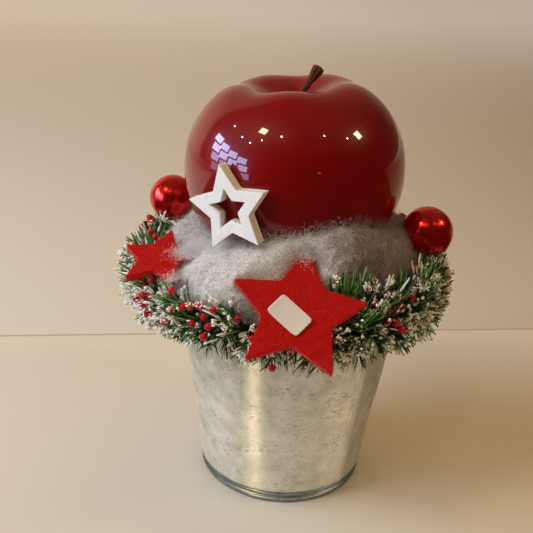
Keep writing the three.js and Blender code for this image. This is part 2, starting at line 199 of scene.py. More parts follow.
@functools.cache
def material_of(finish: Finish) -> bpy.types.Material:
    """The material of a finish, made once: its gloss, and its pattern's layers, links and relief.

    Args:
        finish: The finish.

    Returns:
        The material.
    """
    material = bpy.data.materials.new(finish.name)
    tree = empty_tree(material)
    pattern = finish.pattern(tree, add_node(tree, "ShaderNodeTexCoord").outputs["Object"])
    relief = {"Height": pattern.height, "Strength": pattern.strength, "Distance": pattern.depth * MM}
    bump = add_node(tree, "ShaderNodeBump", relief)
    values = {
        "Base Color": layered(tree, finish.colour, pattern.layers),
        "Roughness": finish.roughness,
        "Metallic": finish.metallic,
        **finish.sockets(),
        **pattern.links,
        **{normal: bump.outputs["Normal"] for normal in pattern.normals},
    }
    shader = add_node(tree, "ShaderNodeBsdfPrincipled", values)
    add_node(tree, "ShaderNodeOutputMaterial", {"Surface": shader.outputs[0]})
    return material


@dataclass(frozen=True)
class GalvanisedSheet(Finish):
    """Rolled steel sheet dipped in zinc: cloudy, with faint rolling lines and flocks of grey specks."""

    # The specks' colour, and also the painted shade past the lap.
    smudge_and_shade: str = "66686a"
    second: str = "d2d1c3"
    cloud_size: float = 9
    patch_size: float = 13
    speck_size: float = 2.0
    speck_share: float = 0.84
    line_height: float = 0.7
    lap_azimuth: float = math.radians(-43)
    lap_fade: float = math.radians(80)
    lap_shade_share: float = 0.13
    stretch: float = 0.95

    def sockets(self) -> dict[str, float]:
        """The rolling lines spread a highlight up and down the wall, a quarter turn from the tangent."""
        return {"Anisotropic": self.stretch, "Anisotropic Rotation": 0.25}

    def pattern(self, tree: Tree, place: Socket) -> Pattern:
        """Clouds warm the colour, specks that gather in patches darken it, a painted shade greys the wall
        just past the lap, and lines ripple it.

        Args:
            tree: The material's tree.
            place: The Object coordinates.

        Returns:
            The pattern.
        """
        wide, ruled = (
            add_node(tree, "ShaderNodeMapping", {"Vector": place, "Scale": scale}).outputs[0]
            for scale in ((0.75, 0.75, 1.3), (0.03, 0.03, 1))
        )
        clouds, patches, specks, lines = (
            add_node(
                tree,
                "ShaderNodeTexNoise",
                {"Vector": where, "Scale": per_metre(size), "Detail": detail, "Roughness": rough},
            ).outputs["Fac"]
            for where, size, detail, rough in (
                (place, self.cloud_size, 4, 0.5),
                (wide, self.patch_size, 5, 0.6),
                (wide, self.speck_size, 5, 0.72),
                (ruled, self.line_height, 3, 0.5),
            )
        )
        cloud, patch, speck, dull = (
            add_node(
                tree,
                "ShaderNodeMapRange",
                {"Value": value, "From Min": low, "From Max": high, "To Min": least, "To Max": most},
            ).outputs[0]
            for value, low, high, least, most in (
                (clouds, 0.35, 0.65, 0, 1),
                (patches, 0.45, 0.62, 0.2, 1),
                (specks, 0.5, 0.7, 0, self.speck_share),
                (patches, 0.3, 0.7, self.roughness - 0.05, self.roughness + 0.12),
            )
        )
        marks = add_node(tree, "ShaderNodeMath", {0: patch, 1: speck}, operation="MULTIPLY")
        height = add_node(tree, "ShaderNodeMath", {0: lines, 1: specks}, operation="ADD")
        around = add_node(tree, "ShaderNodeTangent", direction_type="RADIAL", axis="Z")
        # The second share is a painted shade past the lap, laid on in the smudge colour.
        shares = (marks.outputs[0], self.past_lap_shade(tree, place))
        layers = (Layer(cloud, self.second), *(Layer(share, self.smudge_and_shade) for share in shares))
        links = {"Roughness": dull, "Tangent": around.outputs["Tangent"]}
        return Pattern(height.outputs[0], 0.5, 0.05, layers, links)

    def past_lap_shade(self, tree: Tree, place: Socket) -> Socket:
        """The share of painted shade on the sheet: most just past the lap of its two ends, then less and
        less.

        Args:
            tree: The material's tree.
            place: The Object coordinates.

        Returns:
            The socket with the share of painted shade.
        """
        centred = add_node(tree, "ShaderNodeVectorMath", {0: place, 1: tuple(AXIS)}, operation="SUBTRACT")
        axes = add_node(tree, "ShaderNodeSeparateXYZ", {"Vector": centred.outputs[0]}).outputs
        sides = {0: axes["Y"], 1: axes["X"]}
        azimuth = add_node(tree, "ShaderNodeMath", sides, operation="ARCTAN2").outputs[0]
        past = add_node(tree, "ShaderNodeMath", {0: azimuth, 1: self.lap_azimuth}, operation="GREATER_THAN")
        ends = {"From Min": self.lap_azimuth, "From Max": self.lap_azimuth + self.lap_fade}
        fading = add_node(
            tree, "ShaderNodeMapRange", {"Value": azimuth, **ends, "To Min": self.lap_shade_share, "To Max": 0}
        )
        both = {0: past.outputs[0], 1: fading.outputs[0]}
        return add_node(tree, "ShaderNodeMath", both, operation="MULTIPLY").outputs[0]


@dataclass(frozen=True)
class Lacquer(Finish):
    """Sprayed and polished lacquer over a moulded body: deep, glassy, with a faint orange peel."""

    shade: str = "560204"
    cloud_size: float = 42
    peel_size: float = 7

    def sockets(self) -> dict[str, float]:
        """A clear coat lies over the colour."""
        return {"Coat Weight": 1.0, "Coat Roughness": 0.008, "Coat IOR": 1.5, "Specular IOR Level": 0.1}

    def pattern(self, tree: Tree, place: Socket) -> Pattern:
        """Soft clouds deepen the colour, and a slow ripple bends the reflections.

        Args:
            tree: The material's tree.
            place: The Object coordinates.

        Returns:
            The pattern.
        """
        clouds, peel = (
            add_node(
                tree, "ShaderNodeTexNoise", {"Vector": place, "Scale": per_metre(size), "Detail": detail}
            ).outputs["Fac"]
            for size, detail in ((self.cloud_size, 5), (self.peel_size, 1))
        )
        deep = {"Value": clouds, "From Min": 0.42, "From Max": 0.8, "To Max": 0.45}
        layer = Layer(add_node(tree, "ShaderNodeMapRange", deep).outputs[0], self.shade)
        return Pattern(peel, 0.3, 0.05, (layer,), normals=("Normal", "Coat Normal"))


@dataclass(frozen=True)
class MetallisedBall(Finish):
    """Blown plastic, metallised and dipped in red lacquer: mirror-like, with a fine sparkle."""

    flake: str = "ff6a4a"
    flake_size: float = 0.9

    def sockets(self) -> dict[str, float]:
        """The dip is a clear coat."""
        return {"Coat Weight": 0.4, "Coat Roughness": 0.03}

    def pattern(self, tree: Tree, place: Socket) -> Pattern:
        """Each cell of the flake pattern tilts its own way and is a little brighter or darker.

        Args:
            tree: The material's tree.
            place: The Object coordinates.

        Returns:
            The pattern.
        """
        cells = {"Vector": place, "Scale": per_metre(self.flake_size)}
        flakes = add_node(tree, "ShaderNodeTexVoronoi", cells)
        tone = add_node(tree, "ShaderNodeSeparateColor", {"Color": flakes.outputs["Color"]}).outputs
        bright = {"Value": tone[0], "From Min": 0.55, "From Max": 1.0, "To Max": 0.35}
        layer = Layer(add_node(tree, "ShaderNodeMapRange", bright).outputs[0], self.flake)
        return Pattern(tone[1], 0.35, 0.03, (layer,))


@dataclass(frozen=True)
class Fibre(Finish):
    """Matted fibre: two tones in tangled flecks, a hairy relief and a soft sheen at its edges."""

    second: str = "ffffff"
    fleck_size: float = 2.0
    relief: float = 0.4
    sheen: float = 0.4
    soft: float = 0.14

    def sockets(self) -> dict[str, float]:
        """Loose ends catch the light at a grazing view."""
        return {"Sheen Weight": self.sheen, "Sheen Roughness": 0.5, "Specular IOR Level": 0.15}

    def pattern(self, tree: Tree, place: Socket) -> Pattern:
        """A warped fine noise gives the flecks and the relief.

        Args:
            tree: The material's tree.
            place: The Object coordinates.

        Returns:
            The pattern.
        """
        tangle = {"Vector": place, "Scale": per_metre(self.fleck_size), "Detail": 6, "Roughness": 0.7}
        flecks = add_node(tree, "ShaderNodeTexNoise", {**tangle, "Distortion": 1.2}).outputs["Fac"]
        halves = {"Value": flecks, "From Min": 0.5 - self.soft, "From Max": 0.5 + self.soft}
        layer = Layer(add_node(tree, "ShaderNodeMapRange", halves).outputs[0], self.second)
        return Pattern(flecks, 0.8, self.relief, (layer,))


@dataclass(frozen=True)
class Fibrefill(Fibre):
    """Fibrefill, white on one side and darker on the other: the darker tint is partly the thinner fill and
    partly painted shade.
    """

    # The dull colour is partly the thinner fill's own tone and partly painted shade.
    dull: str = "8c6e5c"
    thin_shade_share: float = 0.86
    back_thin_shade_share: float = 0.75
    patch_size: float = 14

    def pattern(self, tree: Tree, place: Socket) -> Pattern:
        """Adds a darker tint, partly the thinner fill and partly painted shade, that grows towards +X, and
        at the back on the left, in ragged patches.

        Args:
            tree: The material's tree.
            place: The Object coordinates.

        Returns:
            The pattern.
        """
        matted = super().pattern(tree, place)
        patches = {"Vector": place, "Scale": per_metre(self.patch_size), "Detail": 5}
        ragged = add_node(tree, "ShaderNodeTexNoise", patches).outputs["Fac"]
        shares = []
        for toward, spread, low, high, most in (
            ((1, 0, 0), 0.09, 0.052, 0.083, self.thin_shade_share),
            ((-0.8, 0.6, 0), 0.03, 0.042, 0.062, self.back_thin_shade_share),
        ):
            reach = add_node(tree, "ShaderNodeVectorMath", {0: place, 1: toward}, operation="DOT_PRODUCT")
            torn = {0: ragged, 1: spread, 2: reach.outputs["Value"]}
            edge = add_node(tree, "ShaderNodeMath", torn, operation="MULTIPLY_ADD").outputs[0]
            growing = {"Value": edge, "From Min": low, "From Max": high, "To Max": most}
            shares.append(add_node(tree, "ShaderNodeMapRange", growing).outputs[0])
        thin_and_shade = add_node(tree, "ShaderNodeMath", dict(enumerate(shares)), operation="MAXIMUM").outputs[0]
        return replace(matted, layers=(*matted.layers, Layer(thin_and_shade, self.dull, "MULTIPLY")))


@dataclass(frozen=True)
class SawnWood(Finish):
    """Light wood, sawn or painted: grain lines run along one direction, with paler and darker bands."""

    grain: str = "a88a60"
    grain_width: float = 1.2
    grain_share: float = 0.5

    def pattern(self, tree: Tree, place: Socket) -> Pattern:
        """A noise drawn out twelve times along Z gives the grain's colour and its relief.

        Args:
            tree: The material's tree.
            place: The Object coordinates.

        Returns:
            The pattern.
        """
        drawn = add_node(tree, "ShaderNodeMapping", {"Vector": place, "Scale": (1, 1, 1 / 12)}).outputs[0]
        lines = {"Vector": drawn, "Scale": per_metre(self.grain_width), "Detail": 4}
        grain = add_node(tree, "ShaderNodeTexNoise", lines).outputs["Fac"]
        bands = {"Value": grain, "From Min": 0.4, "From Max": 0.7, "To Max": self.grain_share}
        layer = Layer(add_node(tree, "ShaderNodeMapRange", bands).outputs[0], self.grain)
        return Pattern(grain, 0.4, 0.1, (layer,))


# Galvanised steel sheet, rolled and dipped: dull silver, cloudy, half metal and half oxide.
ZINC = GalvanisedSheet("galvanised steel sheet", "ecebe2", 0.38, 0.45)
# The pressed foot ring has less zinc left on it, so its beads are a darker blue grey.
ZINC_FOOT = GalvanisedSheet(
    "galvanised steel foot", "8e969a", 0.33, 0.8, smudge_and_shade="3c4044", second="767d80", stretch=0.0
)
# Polyurethane lacquer on a moulded body, polished: a dark wine red under glass.
APPLE_RED = Lacquer("polished red lacquer", "7a0403", 0.3)
# Stained wood, ribbed: nearly black brown, dull.
STEM_BROWN = SawnWood("stained wood", "4a2018", 0.6, grain="6e3a2c", grain_width=0.9)
# Phenolic dry foam: open cells of 0.3 mm, drawn at 0.6 mm, dusty green.
DRY_FOAM = Fibre("phenolic dry foam", "4a6a48", 0.95, second="5f7d5a", fleck_size=0.6, relief=0.2)
# Hollow polyester fibrefill: cloudy grey white flecks of matted fibre, with a darker tint towards +X that
# is partly painted shade.
FILL = Fibrefill(
    "polyester fibrefill", "968e89", 1.0, second="f4f2f0", fleck_size=1.2, relief=0.3, sheen=0.6, soft=0.1
)
# Single fibres of the same fill, in four tones; the grey and brown ones are dealt out towards +X as painted
# shade.
STRANDS = tuple(
    Finish(f"polyester fibre {tone}", colour, 0.6)
    for tone, colour in (("white", "fbfaf9"), ("pale", "ebe6e3"), ("grey", "b0a39b"), ("brown", "8c7566"))
)
# Slit PVC film twisted into wire: shiny green blades, dark to bright by spray.
NEEDLES = tuple(
    Finish(f"slit PVC film {tone}", colour, 0.38)
    for tone, colour in (
        ("deep", "17301a"),
        ("green", "356529"),
        ("bright", "5a943f"),
        ("pale", "839a6b"),
        ("dusted", "a3ab92"),
    )
)
# Sprayed nylon flock: chalk white crust on the blades; the cream copy is a painted shade, dealt out more on
# the right.
FLOCK = (Finish("sprayed flock white", "f8f6f2", 0.95), Finish("sprayed flock cream", "e8dfce", 0.95))
# Lacquered beads: cherry red and glossy, a few dusted with flock.
BERRIES = (
    Finish("lacquered bead red", "b41218", 0.22),
    Finish("lacquered bead dark", "860a10", 0.25),
    Finish("lacquered bead dusted", "bb3a40", 0.55),
)
# Annealed wire wound with tape: dull brown green.
TAPED_WIRE = Fibre("taped wire", "2c2a1c", 0.8, second="3d3826", fleck_size=1.0, relief=0.1, sheen=0.0)
# Blown and metallised plastic dipped in red: see the class.
BALL_RED = MetallisedBall("metallised red", "d80e08", 0.2, 0.8)
# Stamped tin plate and drawn wire: bright and crimped.
TIN = Finish("tin plate", "c8c6c0", 0.25, 1.0)
# Needle-punched polyester felt: fibres of 0.03 mm, drawn as flecks of 0.9 mm, saturated red.
FELT = Fibre("punched felt", "a20603", 0.95, second="bd0d05", fleck_size=0.9, relief=0.2, sheen=0.08)
# The cut edge's paler reds are a painted highlight on the stars' sides; its stronger relief and sheen are
# the cut fibres.
FELT_EDGE_PAINTED_LIGHT = Fibre("cut felt edge", "b00c06", 0.95, second="d8241a", fleck_size=0.7, relief=0.3, sheen=0.2)
FELT_HAIR = (Finish("felt hair", "c0140c", 0.8), Finish("felt hair pale", "d2463a", 0.8))
# Emulsion paint on poplar plywood: chalky white with a little grain, sawn sides left bare.
WHITE_PAINT = SawnWood("chalk paint on poplar", "f0f4fa", 0.6, grain="dcdee0", grain_share=0.25)
RAW_WOOD = SawnWood("sawn poplar", "e6dccc", 0.7, grain="ccb594", grain_width=0.9)
# Uncoated label paper: fibres of 0.1 mm, drawn at 0.5 mm, off white.
SLIP_PAPER = Fibre("uncoated paper", "d0c4b9", 0.85, second="dbd1c6", fleck_size=0.5, relief=0.02, sheen=0)


# ---- Mesh making ----------------------------------------------------------------------------------


class MeshParts:
    """Collects arrays of corners and faces, then joins them into one piece of the object."""

    def __init__(self, name: str, finishes: tuple[Finish, ...]) -> None:
        """Starts an empty piece with its finishes, which faces name by number."""
        self.name = name
        self.finishes = finishes
        self.corners: list[np.ndarray] = []
        self.faces: list[np.ndarray] = []
        self.slots: list[np.ndarray] = []
        self.count = 0

    def add(self, corners: np.ndarray, faces: list[np.ndarray], slots: np.ndarray | int = 0) -> "MeshParts":
        """Adds corners and the faces between them.

        Args:
            corners: Points in millimetres, any shape that ends in 3.
            faces: Arrays of corner numbers, one row a face.
            slots: The finish's number, the same for all faces or one for each.

        Returns:
            This piece, for the next call.
        """
        points = corners.reshape(-1, 3)
        total = sum(len(group) for group in faces)
        self.corners.append(points)
        self.faces.extend(group + self.count for group in faces)
        self.slots.append(np.broadcast_to(slots, total))
        self.count += len(points)
        return self

    def add_grids(self, points: np.ndarray, slots: np.ndarray | int = 0) -> "MeshParts":
        """Adds many capped grids of one size.

        Args:
            points: Corners by grid, row, column and coordinate.
            slots: The finish's number, the same for all grids or one for each.

        Returns:
            This piece, for the next call.
        """
        count, rows, columns, _ = points.shape
        begin = (np.arange(count) * rows * columns)[:, None, None]
        faces = [(begin + group).reshape(-1, group.shape[1]) for group in grid_faces(rows, columns)]
        dealt = [np.repeat(np.broadcast_to(slots, count), len(group) // count) for group in faces]
        return self.add(points, faces, np.concatenate(dealt))

    def build(self, slot: str, nodes: tuple[str, ...] = ()) -> bpy.types.Object:
        """Makes the object, in metres, and settles it in the frame.

        Args:
            slot: The record's material slot. It is not used.
            nodes: The CAD nodes that the piece stands for.

        Returns:
            The new object.
        """
        mesh = bpy.data.meshes.new(self.name)
        points = np.concatenate(self.corners) * MM + AXIS
        loops = np.concatenate([group.ravel() for group in self.faces])
        sizes = np.concatenate([np.full(len(group), group.shape[1]) for group in self.faces])
        mesh.vertices.add(len(points))
        mesh.vertices.foreach_set("co", points.astype(np.float32).ravel())
        mesh.loops.add(len(loops))
        mesh.loops.foreach_set("vertex_index", loops.astype(np.int32))
        mesh.polygons.add(len(sizes))
        mesh.polygons.foreach_set("loop_start", (np.cumsum(sizes) - sizes).astype(np.int32))
        for finish in self.finishes:
            mesh.materials.append(material_of(finish))
        mesh.polygons.foreach_set("material_index", np.concatenate(self.slots).astype(np.int32))
        mesh.polygons.foreach_set("use_smooth", np.ones(len(sizes), dtype=bool))
        mesh.update(calc_edges=True)
        mesh.validate()
        piece = bpy.data.objects.new(self.name, mesh)
        bpy.context.scene.collection.objects.link(piece)
        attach(piece, BODY)
        if nodes:
            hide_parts(*nodes)
        LOG.info("%s: %d triangles", self.name, int((sizes - 2).sum()))
        return piece


def polar(radius: np.ndarray, azimuth: np.ndarray, height: np.ndarray) -> np.ndarray:
    """Points at a radius, an azimuth in radians and a height, as the last axis of an array."""
    return np.stack(
        np.broadcast_arrays(radius * np.cos(azimuth), radius * np.sin(azimuth), height), axis=-1
    )


def unit(vectors: np.ndarray) -> np.ndarray:
    """The vectors, each made one long."""
    return vectors / np.linalg.norm(vectors, axis=-1, keepdims=True)


def toward(azimuth: float, elevation: float) -> np.ndarray:
    """The direction at an azimuth, from -Y towards +X, and an elevation, both in radians."""
    level = math.cos(elevation)
    return np.array([math.sin(azimuth) * level, -math.cos(azimuth) * level, math.sin(elevation)])


def bell(azimuth: np.ndarray, middle: float, spread: float) -> np.ndarray:
    """A bell curve round the axis: 1 at the middle azimuth, 1/e at the spread to either side."""
    return np.exp(-((np.angle(np.exp(1j * (azimuth - middle))) / spread) ** 2))


def straight(start: np.ndarray, end: np.ndarray, steps: int = 4) -> np.ndarray:
    """Straight paths from starts to ends, by path, step and coordinate."""
    share = np.linspace(0, 1, steps)[None, :, None]
    return start[:, None] * (1 - share) + end[:, None] * share


def grid_faces(rows: int, columns: int, ring: bool = False) -> list[np.ndarray]:
    """Faces of a grid of corners whose columns close round.

    Each quad joins a corner with the next in its row and the two above them. Rows that run
    counter-clockwise and upwards give faces that point outwards.

    Args:
        rows: How many rows of corners.
        columns: How many corners in a row.
        ring: Whether the last row joins the first, as on a torus. If not, both ends are capped.

    Returns:
        The quads, and the two caps unless the grid is a ring.
    """
    row = np.arange(rows if ring else rows - 1)[:, None] * columns
    column = np.arange(columns)[None]
    after, above = (column + 1) % columns, (row + columns) % (rows * columns)
    quads = np.stack([row + column, row + after, above + after, above + column], axis=-1).reshape(-1, 4)
    return [quads] if ring else [quads, column[:, ::-1], (rows - 1) * columns + column]


def tubes(
    paths: np.ndarray, radii: np.ndarray, sides: int, flat: float = 1.0, turn: np.ndarray | float = 0.0
) -> np.ndarray:
    """Tubes carried along many paths at once.

    A ring's first axis is the path's direction crossed with the path's own fixed helper, its
    second is square to both, and the corners lie on the ellipse of these two.

    Args:
        paths: The points that the tubes follow, by tube, step and coordinate.
        radii: Their radii, by tube and step.
        sides: Corners in a ring.
        flat: The second axis as a share of the first, below 1 for a blade.
        turn: How far each tube's rings are turned, in radians.

    Returns:
        The corners, by tube, step, side and coordinate.
    """
    along = np.gradient(paths, axis=1)
    along /= np.linalg.norm(along, axis=-1, keepdims=True) + 1e-9
    helper = np.eye(3)[np.abs(along.mean(axis=1)).argmin(axis=-1)][:, None]
    first = np.cross(along, helper)
    first /= np.linalg.norm(first, axis=-1, keepdims=True) + 1e-9
    second = np.cross(along, first)
    angle = np.linspace(0, TURN, sides, endpoint=False) + np.reshape(turn, (-1, 1))
    across = np.cos(angle)[:, None, :, None] * first[:, :, None]
    upward = np.sin(angle)[:, None, :, None] * second[:, :, None] * flat
    return paths[:, :, None] + radii[:, :, None, None] * (across + upward)


def ripple(points: np.ndarray, wavelength: float, seed: int) -> np.ndarray:
    """A smooth random field from about -1 to 1: nine sine waves in random directions, added up.

    Args:
        points: Where it is read, in millimetres.
        wavelength: The waves' mean length.
        seed: Which field.

    Returns:
        One value for each point.
    """
    waves = 9
    rng = np.random.default_rng(seed)
    direction = rng.normal(size=(3, waves))
    direction *= TURN / wavelength * rng.uniform(0.7, 1.4, waves) / np.linalg.norm(direction, axis=0)
    phase = rng.uniform(0, TURN, waves)
    return np.sin(points @ direction + phase).sum(axis=-1) * (1.4 / math.sqrt(waves))


def smoothstep(value: np.ndarray, low: float, high: float) -> np.ndarray:
    """A soft step from 0 at low to 1 at high, 3t^2 - 2t^3 between."""
    share = np.clip((value - low) / (high - low), 0, 1)
    return share * share * (3 - 2 * share)


# ---- Bucket and foam ------------------------------------------------------------------------------


@dataclass
class Bucket:
    """The zinc bucket: a rolled sheet wall with a lapped seam, a double-beaded foot, a rolled rim."""

    base_radius: float = 51.7
    slope: float = 0.138
    thickness: float = 0.7
    wall_start: float = 8.4
    foot_inner_radius: float = 49.4
    foot_radius: float = 50.9
    foot_height: float = 7.9
    # Where each bead of the foot starts and ends, and how far it stands out.
    beads: tuple[tuple[float, float, float], ...] = ((0.2, 3.9, 1.3), (4.5, 7.3, 1.1))
    recess_depth: float = 3.2
    floor_top: float = 4.6
    rim_height: float = 130
    rim_bead: float = 1.5
    seam_azimuth: float = math.radians(-45.3)
    seam_width: float = 5
    seam_proud: float = 0.6
    seam_top: float = 127
    columns: int = 200

    def wall_radius(self, height: np.ndarray | float) -> np.ndarray | float:
        """The wall's outer radius: it grows evenly with height."""
        return self.base_radius + self.slope * height

    def profile(self) -> np.ndarray:
        """The section, outward along the underside, up the outside and down the inside.

        The foot's beads are two half waves on an upright, and the rim is most of a circle.

        Returns:
            Radius and height of each point.
        """
        bead_height = np.linspace(0, self.foot_height, 34)
        bead_radius = np.full_like(bead_height, self.foot_radius)
        for start, end, depth in self.beads:
            share = np.clip((bead_height - start) / (end - start), 0, 1)
            bead_radius += depth * np.sqrt(np.sin(math.pi * share))
        foot = np.stack([bead_radius, bead_height], axis=-1)
        height = np.linspace(self.wall_start, self.rim_height - self.rim_bead, 60)
        wall = np.stack([self.wall_radius(height), height], axis=-1)
        turn = np.radians(np.linspace(-95, 190, 22))[:, None]
        middle = np.array([[self.wall_radius(self.rim_height), self.rim_height]])
        rim = middle + self.rim_bead * np.concatenate([np.cos(turn), np.sin(turn)], axis=-1)
        inside = (wall - [self.thickness, 0])[::-1]
        inner, outer = self.foot_inner_radius, self.foot_inner_radius + self.thickness
        under = [[0.5, self.recess_depth], [inner, self.recess_depth], [inner, 0]]
        over = [[outer, self.wall_start - self.thickness], [outer, self.floor_top], [0.5, self.floor_top]]
        return np.concatenate([under, foot, wall, rim, inside, over])

    def azimuths(self) -> np.ndarray:
        """Even steps round the bucket, with extra ones where the seam's two edges rise."""
        even = np.linspace(-math.pi, math.pi, self.columns, endpoint=False)
        half = self.seam_width / 2 / self.wall_radius(60.0)
        steps = np.linspace(-0.006, 0.006, 7)
        edges = [self.seam_azimuth + side * half + steps for side in (-1, 1)]
        return np.sort(np.concatenate([even, *edges]))

    def seam_lift(self, azimuth: np.ndarray, radius: np.ndarray, height: np.ndarray) -> np.ndarray:
        """How far the lap stands out: a flat strip with soft edges, on the outside of the wall only.

        Args:
            azimuth: The azimuth of each point.
            radius: Its radius.
            height: Its height.

        Returns:
            The lift in millimetres.
        """
        off = np.abs(azimuth - self.seam_azimuth) * radius - self.seam_width / 2
        strip = smoothstep(-off, -0.1, 0.1)
        outside = (radius >= self.wall_radius(height) - 0.01) & (height > self.wall_start - 0.1)
        return self.seam_proud * strip * outside * smoothstep(self.seam_top - height, -0.5, 0.5)

    def build(self) -> bpy.types.Object:
        """Turns the section round the axis, lifts the seam and dents the sheet very slightly."""
        profile = self.profile()
        azimuth = self.azimuths()[None]
        radius, height = profile[:, :1], profile[:, 1:]
        on_wall = smoothstep(height, self.wall_start, 30) * smoothstep(125 - height, 0, 20)
        dent = 0.25 * on_wall * ripple(polar(radius, azimuth, height), 55, 3)
        lift = self.seam_lift(azimuth, radius, height)
        points = polar(radius + dent + lift, azimuth, np.broadcast_to(height, dent.shape))
        faces = grid_faces(*points.shape[:2])
        in_foot = height[:-1, 0] < self.wall_start - 0.2
        slots = np.concatenate([np.repeat(in_foot.astype(int), points.shape[1]), [1, 0]])
        parts = MeshParts("zinc_bucket", (ZINC, ZINC_FOOT)).add(points, faces, slots)
        return parts.build("galvanised_zinc", ("bucket",))


# ---- Apple and stem -------------------------------------------------------------------------------


@dataclass
class AppleBody:
    """The lacquered apple: a superellipse turned about a leaning axis, dimpled, with five lobes."""

    x: float = -1.3
    z: float = 200.8
    radius: float = 64.2
    tilt: float = math.radians(-4.5)
    top: float = 58.5
    top_power: float = 2.06
    bottom: float = 54.9
    bottom_power: float = 2.26
    dimple_depth: float = 21.4
    dimple_width: float = 23.2
    lobes: int = 5
    lobe_height: float = 0.8
    lobe_phase: float = -0.38
    lobe_angle: float = 0.62
    lobe_spread: float = 0.42
    rows: int = 176
    columns: int = 264

    def lean(self, points: np.ndarray, back: bool = False) -> np.ndarray:
        """Turns points by the apple's tilt about Y and moves them to its middle, or undoes both.

        Args:
            points: The points.
            back: Whether to undo the move and the turn.

        Returns:
            The moved points.
        """
        middle = np.array([self.x, 0, self.z])
        turn = np.array(Matrix.Rotation(self.tilt, 3, "Y"))
        return (points - middle) @ turn if back else points @ turn.T + middle

    def surface(self, angle: np.ndarray, azimuth: np.ndarray) -> np.ndarray:
        """The skin, by angle from the top and azimuth.

        The radius is a power of the sine and the height the same power of the cosine, a bell
        curve sinks the dimple, and a cosine of five waves lifts the shoulders.

        Args:
            angle: Angle from the top, in radians.
            azimuth: Azimuth, in radians.

        Returns:
            The points.
        """
        upper = angle <= math.pi / 2
        power = 2 / np.where(upper, self.top_power, self.bottom_power)
        height = np.where(upper, self.top, self.bottom)
        radius = self.radius * np.sin(angle) ** power
        rise = np.sign(np.cos(angle)) * height * np.abs(np.cos(angle)) ** power
        dimple = self.dimple_depth * np.exp(-((radius / self.dimple_width) ** 2)) * upper
        shoulder = np.exp(-(((angle - self.lobe_angle) / self.lobe_spread) ** 2))
        lobe = self.lobe_height * shoulder * np.cos(self.lobes * (azimuth - self.lobe_phase))
        return self.lean(polar(radius, azimuth, rise - dimple + lobe))

    def pushed_out(self, points: np.ndarray, clearance: float) -> np.ndarray:
        """Moves points that lie inside the apple straight out to its skin.

        The sum of the radius's and the height's powers is 1 on the skin, and less inside.

        Args:
            points: The points.
            clearance: How far off the skin they end.

        Returns:
            The points, all outside.
        """
        local = self.lean(points, back=True)
        upper = local[..., 2] >= 0
        power = np.where(upper, self.top_power, self.bottom_power)
        height = np.where(upper, self.top, self.bottom) + clearance
        across = np.hypot(local[..., 0], local[..., 1]) / (self.radius + clearance)
        level = across**power + (np.abs(local[..., 2]) / height) ** power
        scale = np.where(level < 1, np.maximum(level, 1e-6) ** (-1 / power), 1)
        return self.lean(local * scale[..., None])

    def build(self) -> bpy.types.Object:
        """Makes the skin as a grid from close to one pole to close to the other."""
        angle = math.pi - np.linspace(0.006, math.pi - 0.006, self.rows)[:, None]
        azimuth = np.linspace(0, TURN, self.columns, endpoint=False)[None]
        parts = MeshParts("lacquered_apple", (APPLE_RED,)).add_grids(self.surface(angle, azimuth)[None])
        return parts.build("red_lacquer", ("apple",))


@dataclass
class Stem:
    """The apple's stem: bends to the right, ribbed, and thickens to a blunt knob."""

    start: tuple[float, float, float] = (-5.2, 0, 234.6)
    bend: tuple[float, float, float] = (0.6, 0, 243.2)
    end: tuple[float, float, float] = (9.8, 0, 259)
    # Shares of the way up, and the radius at each.
    stations: tuple[float, ...] = (0, 0.5, 0.75, 0.9, 0.965, 0.985, 1)
    radii: tuple[float, ...] = (1.3, 1.4, 2.0, 3.1, 3.3, 2.6, 0.4)
    ribs: int = 7
    rib_depth: float = 0.09
    rows: int = 60
    columns: int = 42

    def build(self) -> None:
        """Carries a ribbed ring along a quadratic curve, with radii read between a few stations."""
        knob = 0.97 + 0.03 * np.sin(np.linspace(0.2, 1.57, 8))
        share = np.concatenate([np.linspace(0, 0.97, self.rows - 8), knob])
        start, bend, end = (np.array(point) for point in (self.start, self.bend, self.end))
        rest = 1 - share[:, None]
        path = rest**2 * start + 2 * rest * share[:, None] * bend + share[:, None] ** 2 * end
        along = unit(2 * rest * (bend - start) + 2 * share[:, None] * (end - bend))
        side = np.cross([0.0, 1.0, 0.0], along)
        radius = np.interp(share, self.stations, self.radii)
        angle = np.linspace(0, TURN, self.columns, endpoint=False)
        rib = 1 + self.rib_depth * np.cos(self.ribs * angle + 3 * share[:, None])
        width = radius[:, None] * rib
        points = path[:, None] + (width * np.cos(angle))[..., None] * side[:, None]
        points[..., 1] += width * np.sin(angle)
        points += 0.12 * ripple(points, 4, 8)[..., None] * side[:, None]
        MeshParts("ribbed_stem", (STEM_BROWN,)).add_grids(points[None]).build("stem_brown", ("apple_stem",))


# ---- Stars and label ------------------------------------------------------------------------------


class StarMake(Enum):
    """What a star is made of."""

    FELT = "felt"
    WOOD = "wood"


